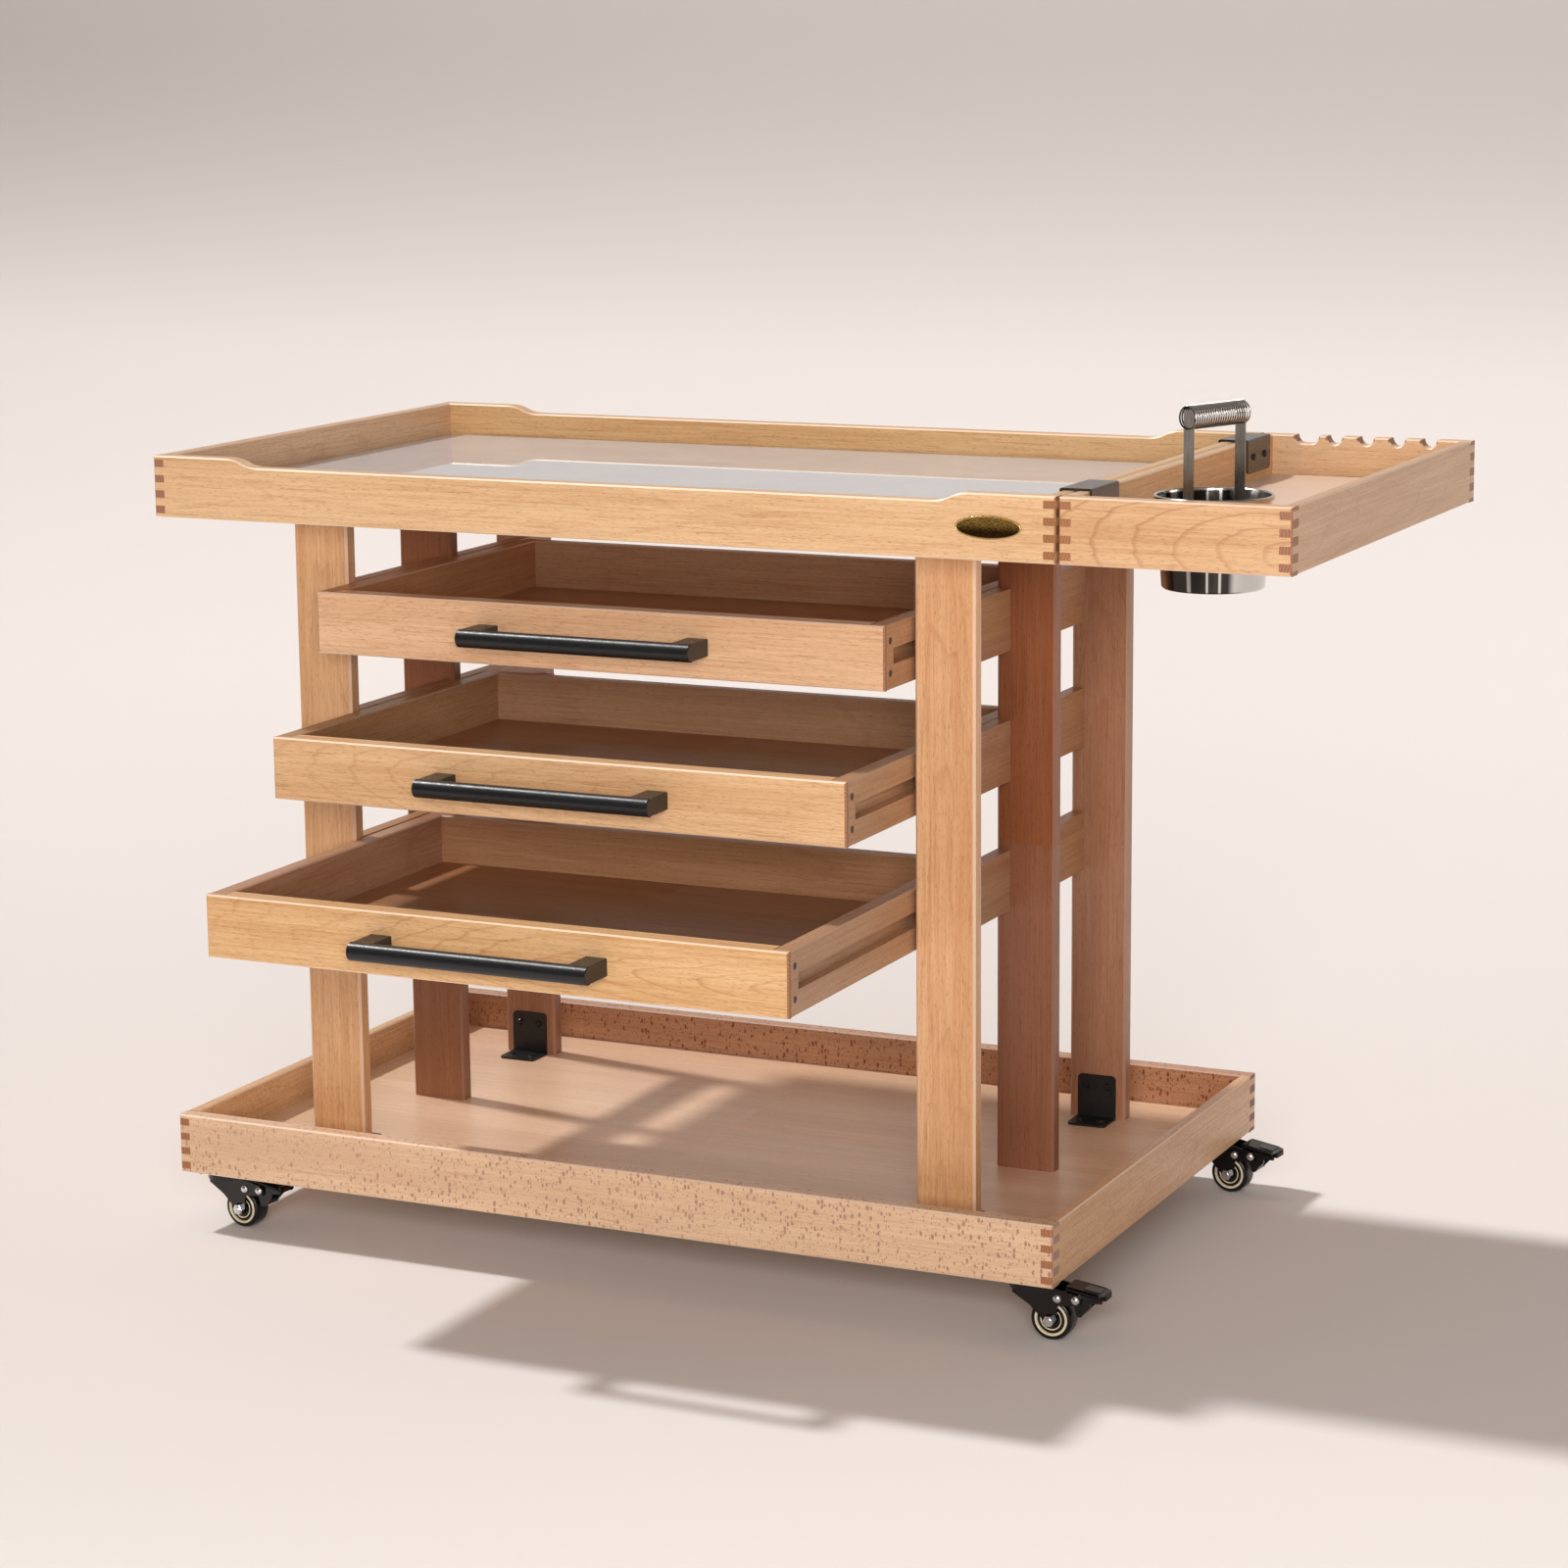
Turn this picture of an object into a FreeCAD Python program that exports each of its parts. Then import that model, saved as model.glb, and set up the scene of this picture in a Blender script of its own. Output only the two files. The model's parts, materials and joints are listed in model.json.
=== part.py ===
import FreeCAD, Part
import math
import os
import re
import Sketcher

# Art supply cart. Millimetres, Z up. Local work is done from the cart's front left bottom corner,
# and every placement is shifted so that the origin lies under the middle of the bounding box.

os.makedirs("parts", exist_ok=True)
doc = FreeCAD.newDocument("art_supply_cart")
sheet = doc.addObject("Spreadsheet::Sheet", "Sizes")

# trays and their box joints
tray_length = 816
tray_depth = 500
rail_height = 52
long_rail_thick = 15
end_rail_thick = 10
finger_start = 3.4
finger_height = 6.2
finger_pitch = 13
edge_ease = 1.2
panel_thick = 9
panel_rise = 18
panel_groove = 5
panel_play = 0.5
caster_height = 50
tray_rise = 576
scoop_start = 72
scoop_run = 30
scoop_drop = 7
glass_thick = 5
glass_play = 1
# side tray
tray_gap = 2.5
side_length = 185
notch_first = 40.4
notch_second = 65.2
notch_pitch = 27.8
notch_radius = 7
notch_first_flat = 8
# frame
post_wide = 52
post_thick = 15
post_inset = 94
post_ease = 2
front_post_y = 68
guide_thick = 12
guide_housing = 5
runner_play = 1
runner_top_play = 0.3
sheet_thick = 2
bracket_wide = 35.5
bracket_rise = 40
bracket_foot = 30
bracket_corner = 4
bracket_screw_side = 10
bracket_screw_high = 30
bracket_screw_out = 18
# fasteners
screw_shank = 3.4
screw_head = 6.6
screw_head_height = 1.8
screw_length = 8
pan_share = 0.62
screw_play = 0.1
side_screw_shank = 3.5
side_screw_head = 6
side_screw_head_height = 1.8
side_screw_length = 32
handle_screw_head_height = 2.5
handle_screw_grip = 8
# drawers
drawer_gap = 2.5
drawer_depth = 365
drawer_rise = 244
drawer_pitch = 111
drawer_front_thick = 18
drawer_side_thick = 15
drawer_back_thick = 12
drawer_lip = 5
drawer_bottom_thick = 4
drawer_bottom_rise = 6
runner_groove_height = 13
runner_groove_rise = 19.5
runner_groove_depth = 8
side_screw_back = 12
top_open = 54
middle_open = 129
bottom_open = 236
handle_spacing = 192
handle_length = 212
bar_diameter = 15
handle_reach = 38
handle_rise = 26
handle_foot_wide = 19
handle_foot_step = 0.6
handle_ease = 1
# badge
badge_long = 55
badge_tall = 18.4
badge_thick = 1
badge_from_end = 55
# hanging brackets
hanger_long = 59
hanger_front_y = 40
hanger_rear_inset = 28
hanger_drop = 27
hanger_lip = 12
hanger_play = 0.3
hanger_bend = 1.8
# brush bucket
bucket_in = 92.5
bucket_y = 91.7
bucket_top = 90
bucket_bottom = 80
bucket_height = 72.5
bucket_rim_rise = 30
bucket_roll = 1.7
metal_skin = 0.8
bucket_play = 0.3
# brush holder
basket_diameter = 65
basket_height = 50.4
basket_floor = 14
basket_hole = 5
basket_hole_ring = 11
strip_wide = 10
strip_thick = 0.8
strip_inset = 1.2
strip_high = 137.7
spring_turns = 24
strip_turns = 11
spring_diameter = 19
spring_wire = 1.3
spring_drop = 5
spring_turn = 68.9
# casters
block_side = 60
plate_side = 42
plate_corner = 4
plate_screw_inset = 4
plate_screw_seam = 2.5
king_pin = 7
king_head = 12
fork_gap = 0.3
fork_radius = 18
fork_crown = 6.2
fork_sheet = 2
caster_trail = 20
wheel_diameter = 35
wheel_wide = 18
wheel_side_gap = 0.4
wheel_ring = 27.8
wheel_hub = 11
wheel_recess = 1.6
tyre_step = 0.6
tyre_round = 1.6
tyre_shoulder = 3
axle_diameter = 5
nut_across = 8.4
nut_high = 3.2
turning_play = 0.1
rivet_diameter = 4
rivet_head = 6.6
rivet_head_high = 1.8
spacer_out = 6.5
spacer_over = 1.5
pivot_out = 22
pivot_over = 2
shoe_radius = 3
shoe_out = 2.5
shoe_down = 11.5
cheek_back = 12
cheek_back_low = 12.5
cheek_wing_out = 17
cheek_wing_up = 11
cheek_round = 5.5
cheek_front_out = 6.8
cheek_front_up = 13
lug_low_out = 3.6
lug_low = 4.4
lug_out = 4.6
lug_up = 1.5
lug_top_out = 1
lug_top = 4.2
tread_back = 8
tread_front = 22.5
tread_clear = 3.5
tread_fall = 4
tread_sheet = 2.5
front_left_heading = -6
front_right_heading = 0
rear_left_heading = 12
rear_right_heading = -6
# cutters run past the face that they open by this much
past = 1

names = [name for name, number in list(globals().items()) if isinstance(number, (int, float))]
for row, name in enumerate(names, 1):
    sheet.set("A%d" % row, name)
    sheet.set("B%d" % row, str(globals()[name]))
    sheet.setAlias("B%d" % row, name)
doc.recompute()

# lower outline of the brake pedal's ears, as (out, up) from the pedal's pivot
ear_outline = ((-5, -1), (-1.5, -8), (-0.9, -10.4), (1.5, -13), (4.5, -13), (11.5, -5.5), (12, -2), (21.5, -1))
finger_count = int((rail_height - finger_start - finger_height) // finger_pitch) + 1
notch_count = int((side_length - end_rail_thick - notch_radius - notch_second) // notch_pitch) + 1

# formulas used by several pieces
middle_x = "(tray_length + tray_gap + side_length) / 2"
middle_y = "(tray_depth + front_post_y - bottom_open - handle_reach) / 2"
panel_under = "(panel_rise - panel_thick)"
rear_post_y = "(tray_depth - front_post_y - post_thick)"
middle_post_y = "((front_post_y + %s) / 2)" % rear_post_y
far_post_x = "(tray_length - post_inset - post_wide)"
drawer_wide = "(tray_length - 2 * post_inset - 2 * post_wide - 2 * drawer_gap)"
drawer_x = "(post_inset + post_wide + drawer_gap)"
post_high = "(tray_rise - panel_thick)"
side_x = "(tray_length + tray_gap)"
bucket_x = "(%s + bucket_in)" % side_x
bucket_rim_z = "(tray_rise + panel_rise + bucket_rim_rise)"
strip_spread = "(basket_diameter / 2 - metal_skin - strip_inset)"
plate_screw_side = "(plate_side / 2 - plate_screw_inset)"
caster_x = "(end_rail_thick + plate_screw_seam + %s)" % plate_screw_side
caster_y = "(long_rail_thick - plate_screw_seam + %s)" % plate_screw_side


def linked(text):
    def swap(word):
        return "Sizes." + word.group(0) if word.group(0) in names else word.group(0)
    return re.sub(r"[a-z_]+", swap, str(text))


def value(text):
    found = sheet.evalExpression(linked(text))
    return float(getattr(found, "Value", found))


def bind(item, path, text):
    item.setExpression(path, linked(text))


def body(label):
    made = doc.addObject("PartDesign::Body", label)
    made.Label = label
    return made


def place(item, x, y, z):
    bind(item, ".Placement.Base.x", "%s - %s" % (x, middle_x))
    bind(item, ".Placement.Base.y", "%s - %s" % (y, middle_y))
    bind(item, ".Placement.Base.z", "%s + caster_height" % z)


def turn(item, axis, degrees):
    item.Placement = FreeCAD.Placement(FreeCAD.Vector(), FreeCAD.Rotation(axis, degrees))


def offset(item, x, y, z):
    bind(item, ".Placement.Base.x", x)
    bind(item, ".Placement.Base.y", y)
    bind(item, ".Placement.Base.z", z)


def circle(x, y, radius):
    return ("circle", x, y, radius)


def box_loop(x_low, x_high, y_low, y_high):
    return [(x_low, y_low), (x_high, y_low), (x_high, y_high), (x_low, y_high)]


def round_loop(x_low, x_high, y_low, y_high, radius):
    near, far = "%s + %s" % (x_low, radius), "%s - %s" % (x_high, radius)
    low, high = "%s + %s" % (y_low, radius), "%s - %s" % (y_high, radius)
    return [(near, y_low), (far, y_low, far, low, 1), (x_high, low), (x_high, high, far, high, 1),
            (far, y_high), (near, y_high, near, high, 1), (x_low, high), (x_low, low, near, low, 1)]


def draw_circle(sketch, loop):
    centre = FreeCAD.Vector(value(loop[1]), value(loop[2]), 0)
    found = sketch.addGeometry(Part.Circle(centre, FreeCAD.Vector(0, 0, 1), value(loop[3])), False)
    rules = [
        (Sketcher.Constraint("DistanceX", -1, 1, found, 3, centre.x), loop[1]),
        (Sketcher.Constraint("DistanceY", -1, 1, found, 3, centre.y), loop[2]),
        (Sketcher.Constraint("Radius", found, value(loop[3])), loop[3]),
    ]
    for rule, text in rules:
        bind(sketch, "Constraints[%d]" % sketch.addConstraint(rule), text)


# A loop's point is (x, y), or (x, y, centre x, centre y, turn) where an arc leads to the next point:
# turn is 1 for an arc that runs anticlockwise and -1 for one that runs clockwise.
def draw_polygon(sketch, loop):
    points = [FreeCAD.Vector(value(point[0]), value(point[1]), 0) for point in loop]
    ends = []
    for index, point in enumerate(loop):
        start = points[index]
        stop = points[(index + 1) % len(points)]
        if len(point) == 2:
            found = sketch.addGeometry(Part.LineSegment(start, stop), False)
            ends.append((found, 1, 2))
            continue
        centre = FreeCAD.Vector(value(point[2]), value(point[3]), 0)
        whole = Part.Circle(centre, FreeCAD.Vector(0, 0, 1), (start - centre).Length)
        angles = [math.atan2(end.y - centre.y, end.x - centre.x) for end in (start, stop)]
        if point[4] < 0:
            angles.reverse()
        if angles[1] < angles[0]:
            angles[1] += 2 * math.pi
        found = sketch.addGeometry(Part.ArcOfCircle(whole, angles[0], angles[1]), False)
        ends.append((found, 1, 2) if point[4] > 0 else (found, 2, 1))
    for index in range(len(loop)):
        here = ends[index]
        after = ends[(index + 1) % len(loop)]
        sketch.addConstraint(Sketcher.Constraint("Coincident", here[0], here[2], after[0], after[1]))
    for index, point in enumerate(loop):
        found, first, last = ends[index]
        for name, text, number in (("DistanceX", point[0], points[index].x),
                                   ("DistanceY", point[1], points[index].y)):
            rule = Sketcher.Constraint(name, -1, 1, found, first, number)
            bind(sketch, "Constraints[%d]" % sketch.addConstraint(rule), text)
        if len(point) > 2:
            level = abs(points[index].y - points[(index + 1) % len(points)].y) < 0.000001
            name, text = ("DistanceY", point[3]) if level else ("DistanceX", point[2])
            rule = Sketcher.Constraint(name, -1, 1, found, 3, value(text))
            bind(sketch, "Constraints[%d]" % sketch.addConstraint(rule), text)


def outline(owner, role, start, loops, name):
    sketch = owner.newObject("Sketcher::SketchObject", name)
    plane = [item for item in owner.Origin.OriginFeatures if item.Role == role][0]
    sketch.AttachmentSupport = (plane, [""])
    sketch.MapMode = "FlatFace"
    sign = "-1 * " if role == "XZ_Plane" else ""
    bind(sketch, ".AttachmentOffset.Base.z", "%s(%s)" % (sign, start))
    for loop in loops:
        if loop[0] == "circle":
            draw_circle(sketch, loop)
        else:
            draw_polygon(sketch, loop)
    return sketch


def volume(owner):
    return owner.Shape.Volume if owner.Shape.Solids else 0


# Pads or pockets the loops from start over the given length along the plane's own axis.
def extrude(owner, kind, role, start, length, loops, name):
    before = volume(owner)
    feature = owner.newObject("PartDesign::" + kind, name)
    feature.Profile = outline(owner, role, start, loops, name + "_outline")
    bind(feature, "Length", length)
    feature.Reversed = (role == "XZ_Plane") == (kind == "Pad")
    doc.recompute()
    grown = volume(owner) - before
    if (grown > 0) != (kind == "Pad") or abs(grown) < 0.01:
        raise ValueError("%s of %s changes the volume by %.3f" % (name, owner.Label, grown))
    return feature


def pad(owner, role, start, length, loops, name="board"):
    return extrude(owner, "Pad", role, start, length, loops, name)


def pocket(owner, role, start, length, loops, name):
    return extrude(owner, "Pocket", role, start, length, loops, name)


def revolve(owner, role, loop, name="turned"):
    feature = owner.newObject("PartDesign::Revolution", name)
    feature.Profile = outline(owner, role, "0", [loop], name + "_outline")
    feature.ReferenceAxis = (feature.Profile[0], ["V_Axis"])
    feature.Angle = 360
    doc.recompute()
    return feature


def flat(edge, axis, number):
    box = edge.BoundBox
    low = getattr(box, axis + "Min")
    high = getattr(box, axis + "Max")
    return abs(low - number) < 0.001 and abs(high - number) < 0.001


def ease(owner, kind, amount, wanted, name):
    feature = owner.Tip
    chosen = ["Edge%d" % (index + 1) for index, edge in enumerate(feature.Shape.Edges) if wanted(edge)]
    dressed = owner.newObject("PartDesign::" + kind, name)
    dressed.Base = (feature, chosen)
    bind(dressed, "Size" if kind == "Chamfer" else "Radius", amount)
    before = volume(owner)
    doc.recompute()
    if "Invalid" in dressed.State or abs(volume(owner) - before) < 0.0001:
        raise ValueError("%s of %s fails on %d edges" % (name, owner.Label, len(chosen)))
    return dressed


def group(label, items):
    made = doc.addObject("Part::Compound", label)
    made.Label = label
    made.Links = items
    return made


def copy_of(source, label):
    made = doc.addObject("App::Link", label)
    made.Label = label
    made.LinkedObject = source
    return made


outputs = []
upward = FreeCAD.Vector(0, 0, 1)
sideways = FreeCAD.Vector(1, 0, 0)
backward = FreeCAD.Vector(0, 1, 0)


def finger_loops(side, wide):
    loops = []
    for index in range(finger_count):
        low = "finger_start + %d * finger_pitch" % index
        loops.append(box_loop(side, wide, low, low + " + finger_height"))
    return loops


def finger_gaps(side, wide):
    loops = []
    for index in range(finger_count + 1):
        low = "finger_start + %d * finger_pitch + finger_height" % (index - 1)
        high = "finger_start + %d * finger_pitch" % index
        if index == 0:
            low = "-past"
        if index == finger_count:
            high = "rail_height + past"
        loops.append(box_loop(side, wide, low, high))
    return loops


# A scooped top edge falls in two equal tangent arcs on either side of a long level part.
def rail_profile(length, scooped, notched):
    loop = [("0", "0"), (length, "0"), (length, "rail_height")]
    if scooped:
        radius = "((scoop_run * scoop_run + scoop_drop * scoop_drop) / (4 * scoop_drop))"
        low = "rail_height - scoop_drop"
        half = "rail_height - scoop_drop / 2"
        over = "rail_height - " + radius
        under = "rail_height - scoop_drop + " + radius
        right = "%s - scoop_start" % length
        right_low = "%s - scoop_run" % right
        left_low = "scoop_start + scoop_run"
        loop.append((right, "rail_height", right, over, 1))
        loop.append(("%s - scoop_run / 2" % right, half, right_low, under, -1))
        loop.append((right_low, low))
        loop.append((left_low, low, left_low, under, -1))
        loop.append(("scoop_start + scoop_run / 2", half, "scoop_start", over, 1))
        loop.append(("scoop_start", "rail_height"))
    if notched:
        for index in range(notch_count, -1, -1):
            if index:
                centre = "notch_second + %d * notch_pitch" % (index - 1)
                loop.append((centre + " + notch_radius", "rail_height", centre, "rail_height", -1))
                loop.append((centre + " - notch_radius", "rail_height"))
                continue
            right, left = "(notch_first + notch_first_flat / 2)", "(notch_first - notch_first_flat / 2)"
            loop.append((right + " + notch_radius", "rail_height", right, "rail_height", -1))
            loop.append((right, "rail_height - notch_radius"))
            loop.append((left, "rail_height - notch_radius", left, "rail_height", -1))
            loop.append((left + " - notch_radius", "rail_height"))
    loop.append(("0", "rail_height"))
    return loop


def long_rail(label, length, x, y, z, inner_front, scooped=False, notched=False):
    made = body(label)
    pad(made, "XZ_Plane", "0", "long_rail_thick", [rail_profile(length, scooped, notched)])
    thick = value("long_rail_thick")
    span = value(length)
    high = value("rail_height")

    def outer(edge):
        box = edge.BoundBox
        outside = thick if inner_front else 0
        upper = box.ZMin > high / 2
        at_end = flat(edge, "X", 0) or flat(edge, "X", span)
        if at_end:
            return flat(edge, "Y", outside)
        return flat(edge, "Y", outside) or (flat(edge, "Y", thick - outside) and upper)
    ease(made, "Chamfer", "edge_ease", outer, "eased")
    slots = finger_loops("-past", "end_rail_thick")
    slots += finger_loops("%s - end_rail_thick" % length, "%s + past" % length)
    pocket(made, "XZ_Plane", "-past", "long_rail_thick + 2 * past", slots, "finger_slots")
    groove_from = "-past" if inner_front else "long_rail_thick - panel_groove"
    stop = "(end_rail_thick - panel_groove)"
    groove = box_loop(stop, "%s - %s" % (length, stop), panel_under, "panel_rise")
    pocket(made, "XZ_Plane", groove_from, "panel_groove + past", [groove], "panel_groove")
    place(made, x, y, z)
    outputs.append(made)
    return made


def end_rail(label, x, y, z, inner_left):
    made = body(label)
    pad(made, "YZ_Plane", "0", "end_rail_thick", [box_loop("0", "tray_depth", "0", "rail_height")])
    thick = value("end_rail_thick")
    span = value("tray_depth")
    high = value("rail_height")

    def outer(edge):
        outside = thick if inner_left else 0
        if flat(edge, "Y", 0) or flat(edge, "Y", span):
            return flat(edge, "X", outside)
        if flat(edge, "X", outside):
            return True
        return flat(edge, "X", thick - outside) and flat(edge, "Z", high)
    ease(made, "Chamfer", "edge_ease", outer, "eased")
    slots = finger_gaps("-past", "long_rail_thick")
    slots += finger_gaps("tray_depth - long_rail_thick", "tray_depth + past")
    pocket(made, "YZ_Plane", "-past", "end_rail_thick + 2 * past", slots, "finger_slots")
    groove_from = "-past" if inner_left else "end_rail_thick - panel_groove"
    groove = box_loop("long_rail_thick - panel_groove", "tray_depth - long_rail_thick + panel_groove",
                      panel_under, "panel_rise")
    pocket(made, "YZ_Plane", groove_from, "panel_groove + past", [groove], "panel_groove")
    place(made, x, y, z)
    outputs.append(made)
    return made


def tray(prefix, length, x, z, scooped=False, notched=False):
    long_rail(prefix + "_front_rail", length, x, "0", z, False, scooped)
    rear_y = "tray_depth - long_rail_thick"
    long_rail(prefix + "_rear_rail", length, x, rear_y, z, True, scooped, notched)
    end_rail(prefix + "_left_rail", x, "0", z, False)
    end_rail(prefix + "_right_rail", "%s + %s - end_rail_thick" % (x, length), "0", z, True)
    made = body(prefix + "_panel")
    wide = "(%s - 2 * (end_rail_thick - panel_groove + panel_play))" % length
    deep = "(tray_depth - 2 * (long_rail_thick - panel_groove + panel_play))"
    pad(made, "XY_Plane", "0", "panel_thick", [box_loop("0", wide, "0", deep)])
    shift = "end_rail_thick - panel_groove + panel_play"
    place(made, "%s + %s" % (x, shift), "long_rail_thick - panel_groove + panel_play",
          "%s + %s" % (z, panel_under))
    outputs.append(made)
    return made


base_panel = tray("base", "tray_length", "0", "0")
top_panel = tray("top", "tray_length", "0", "tray_rise", scooped=True)
side_panel = tray("side_tray", "side_length", side_x, "tray_rise", notched=True)

panel_x = "(end_rail_thick - panel_groove + panel_play)"
panel_y = "(long_rail_thick - panel_groove + panel_play)"

# the bucket's wall tapers, so its radius at the side tray's panel is found from the rim down
slope = "((bucket_top - bucket_bottom) / (2 * bucket_height))"
hole_radius = "(bucket_top / 2 - %s * bucket_rim_rise + bucket_play)" % slope
hole_x = "(bucket_in - %s)" % panel_x
hole_y = "(bucket_y - %s)" % panel_y
pocket(side_panel, "XY_Plane", "-past", "panel_thick + 2 * past",
       [circle(hole_x, hole_y, hole_radius)], "bucket_hole")

glass = body("glass_top")
glass_x = "(end_rail_thick + glass_play)"
glass_y = "(long_rail_thick + glass_play)"
pad(glass, "XY_Plane", "0", "glass_thick",
    [box_loop("0", "tray_length - 2 * " + glass_x, "0", "tray_depth - 2 * " + glass_y)])
ease(glass, "Chamfer", "edge_ease / 2", lambda edge: flat(edge, "Z", value("glass_thick")), "eased")
place(glass, glass_x, glass_y, "tray_rise + panel_rise")
outputs.append(glass)

# brackets that hold the front and rear posts, and the screws of all sheet metal
bracket = body("post_bracket")
half_wide = "bracket_wide / 2"
pad(bracket, "XZ_Plane", "0", "sheet_thick",
    [box_loop("-" + half_wide, half_wide, "0", "bracket_rise")], "upright")
pad(bracket, "XY_Plane", "0", "sheet_thick",
    [box_loop("-" + half_wide, half_wide, "0", "bracket_foot")], "foot")


def bracket_corner(edge):
    upper = flat(edge, "Z", value("bracket_rise"))
    outer = flat(edge, "Y", value("bracket_foot"))
    at_side = edge.BoundBox.XLength < 0.001
    return at_side and (upper or outer)


ease(bracket, "Fillet", "bracket_corner", bracket_corner, "rounded")
hole = "(screw_shank / 2 + 2 * screw_play)"
pocket(bracket, "XZ_Plane", "-past", "sheet_thick + 2 * past",
       [circle("-bracket_screw_side", "bracket_screw_high", hole),
        circle("bracket_screw_side", "bracket_screw_high", hole)], "upright_holes")
pocket(bracket, "XY_Plane", "-past", "sheet_thick + 2 * past",
       [circle("-bracket_screw_side", "bracket_screw_out", hole),
        circle("bracket_screw_side", "bracket_screw_out", hole)], "foot_holes")

screw = body("sheet_screw")
head = "screw_head / 2"
shank = "screw_shank / 2"
revolve(screw, "XZ_Plane", [("0", "-screw_length"), (shank, "-screw_length"), (shank, "0"), (head, "0"),
                            (head + " * pan_share", "screw_head_height"), ("0", "screw_head_height")])

# countersunk screws in the drawers' sides, and long pan-head screws in the handles and the middle posts
side_screw = body("side_screw")
head = "side_screw_head / 2"
shank = "side_screw_shank / 2"
revolve(side_screw, "XZ_Plane", [("0", "-side_screw_length"), (shank, "-side_screw_length"),
                                 (shank, "-side_screw_head_height"), (head, "0"), ("0", "0")])
long_screw = body("long_screw")
grip = "-(drawer_front_thick + handle_screw_grip)"
revolve(long_screw, "XZ_Plane", [("0", grip), (shank, grip), (shank, "0"), (head, "0"),
                                   (head + " * pan_share", "handle_screw_head_height"),
                                   ("0", "handle_screw_head_height")])
side_hole = "(side_screw_shank / 2 + screw_play)"

pilot = "(screw_shank / 2 + screw_play)"
pilot_deep = "(screw_length - sheet_thick + past)"
posts = {}
post_rows = (("front", "front_post_y"), ("middle", middle_post_y), ("rear", rear_post_y))
post_sides = (("left", "post_inset"), ("right", far_post_x))
panel_holes = []
sunk_screws = []
sunk = "(handle_screw_head_height + screw_play)"
post_screw_into = "(drawer_front_thick + handle_screw_grip - panel_thick + %s)" % sunk
bracket_copies = []
screw_copies = []


def add_screw(axis, degrees, x, y, z, source=screw):
    made = copy_of(source, "screw_%d" % (len(screw_copies) + 1))
    turn(made, axis, degrees)
    place(made, x, y, z)
    screw_copies.append(made)


for side, post_x in post_sides:
    for row, post_y in post_rows:
        label = "%s_%s_post" % (row, side)
        post = body(label)
        pad(post, "XY_Plane", "0", post_high, [box_loop("0", "post_wide", "0", "post_thick")])
        ease(post, "Chamfer", "post_ease", lambda edge: edge.BoundBox.ZLength > 1, "eased")
        inner = "0" if side == "right" else "post_wide - guide_thick"
        inner_end = "guide_thick" if side == "right" else "post_wide"
        low_side = inner if side == "left" else "-past"
        high_side = inner_end if side == "right" else "post_wide + past"
        notches = []
        for level in range(3):
            low = "drawer_rise + %d * drawer_pitch - panel_rise" % level
            notches.append(box_loop(low_side, high_side, low, low + " + rail_height"))
        if row == "middle":
            pocket(post, "XZ_Plane", "-past", "post_thick + 2 * past", notches, "guide_notches")
        elif row == "front":
            pocket(post, "XZ_Plane", "post_thick - guide_housing", "guide_housing + past",
                   notches, "guide_housings")
        else:
            pocket(post, "XZ_Plane", "-past", "guide_housing + past", notches, "guide_housings")
        place(post, post_x, post_y, "panel_rise")
        posts[label] = post
        screw_sides = ["post_wide / 2 - bracket_screw_side", "post_wide / 2 + bracket_screw_side"]
        if row == "middle":
            ends = [circle(across, "post_thick / 2", side_hole) for across in screw_sides]
            pocket(post, "XY_Plane", "-past", post_screw_into + " + 2 * past", ends, "foot_holes")
            pocket(post, "XY_Plane", "%s - %s - past" % (post_high, post_screw_into),
                   post_screw_into + " + 2 * past", ends, "head_holes")
            for across in screw_sides:
                at = "(%s + %s)" % (post_x, across)
                along = "(%s + post_thick / 2)" % post_y
                add_screw(sideways, 180, at, along, "%s + %s" % (panel_under, sunk), long_screw)
                add_screw(sideways, 0, at, along, "tray_rise + panel_rise - " + sunk, long_screw)
                sunk_screws.append(("%s - %s" % (at, panel_x), "%s - %s" % (along, panel_y)))
            continue
        holes = []
        for level in ("bracket_screw_high", post_high + " - bracket_screw_high"):
            for across in screw_sides:
                holes.append(circle(across, level, pilot))
        if row == "rear":
            pocket(post, "XZ_Plane", "-past", pilot_deep, holes, "screw_holes")
        else:
            deep = "post_thick - (screw_length - sheet_thick)"
            pocket(post, "XZ_Plane", deep, pilot_deep, holes, "screw_holes")
        centre = "%s + post_wide / 2" % post_x
        face = post_y if row == "rear" else post_y + " + post_thick"
        outward = "-" if row == "rear" else "+"
        skin = "%s %s sheet_thick" % (face, outward)
        out = "%s %s bracket_screw_out" % (face, outward)
        for end in ("base", "top"):
            made = copy_of(bracket, "%s_%s_bracket" % (end, label))
            level = "panel_rise" if end == "base" else "tray_rise + panel_rise - panel_thick"
            spin = FreeCAD.Rotation(upward, 180 if row == "rear" else 0)
            if end == "top":
                spin = FreeCAD.Rotation(backward, 180).multiply(spin)
            made.Placement = FreeCAD.Placement(FreeCAD.Vector(), spin)
            place(made, centre, face, level)
            bracket_copies.append(made)
            sign = "+" if end == "base" else "-"
            for across in ("-", "+"):
                at = "%s %s bracket_screw_side" % (centre, across)
                add_screw(sideways, 90 if row == "rear" else -90, at, skin,
                          "%s %s bracket_screw_high" % (level, sign))
                add_screw(sideways, 0 if end == "base" else 180, at, out,
                          "%s %s sheet_thick" % (level, sign))
                if end == "base":
                    panel_holes.append(circle("%s - %s" % (at, panel_x), "%s - %s" % (out, panel_y), pilot))

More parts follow.
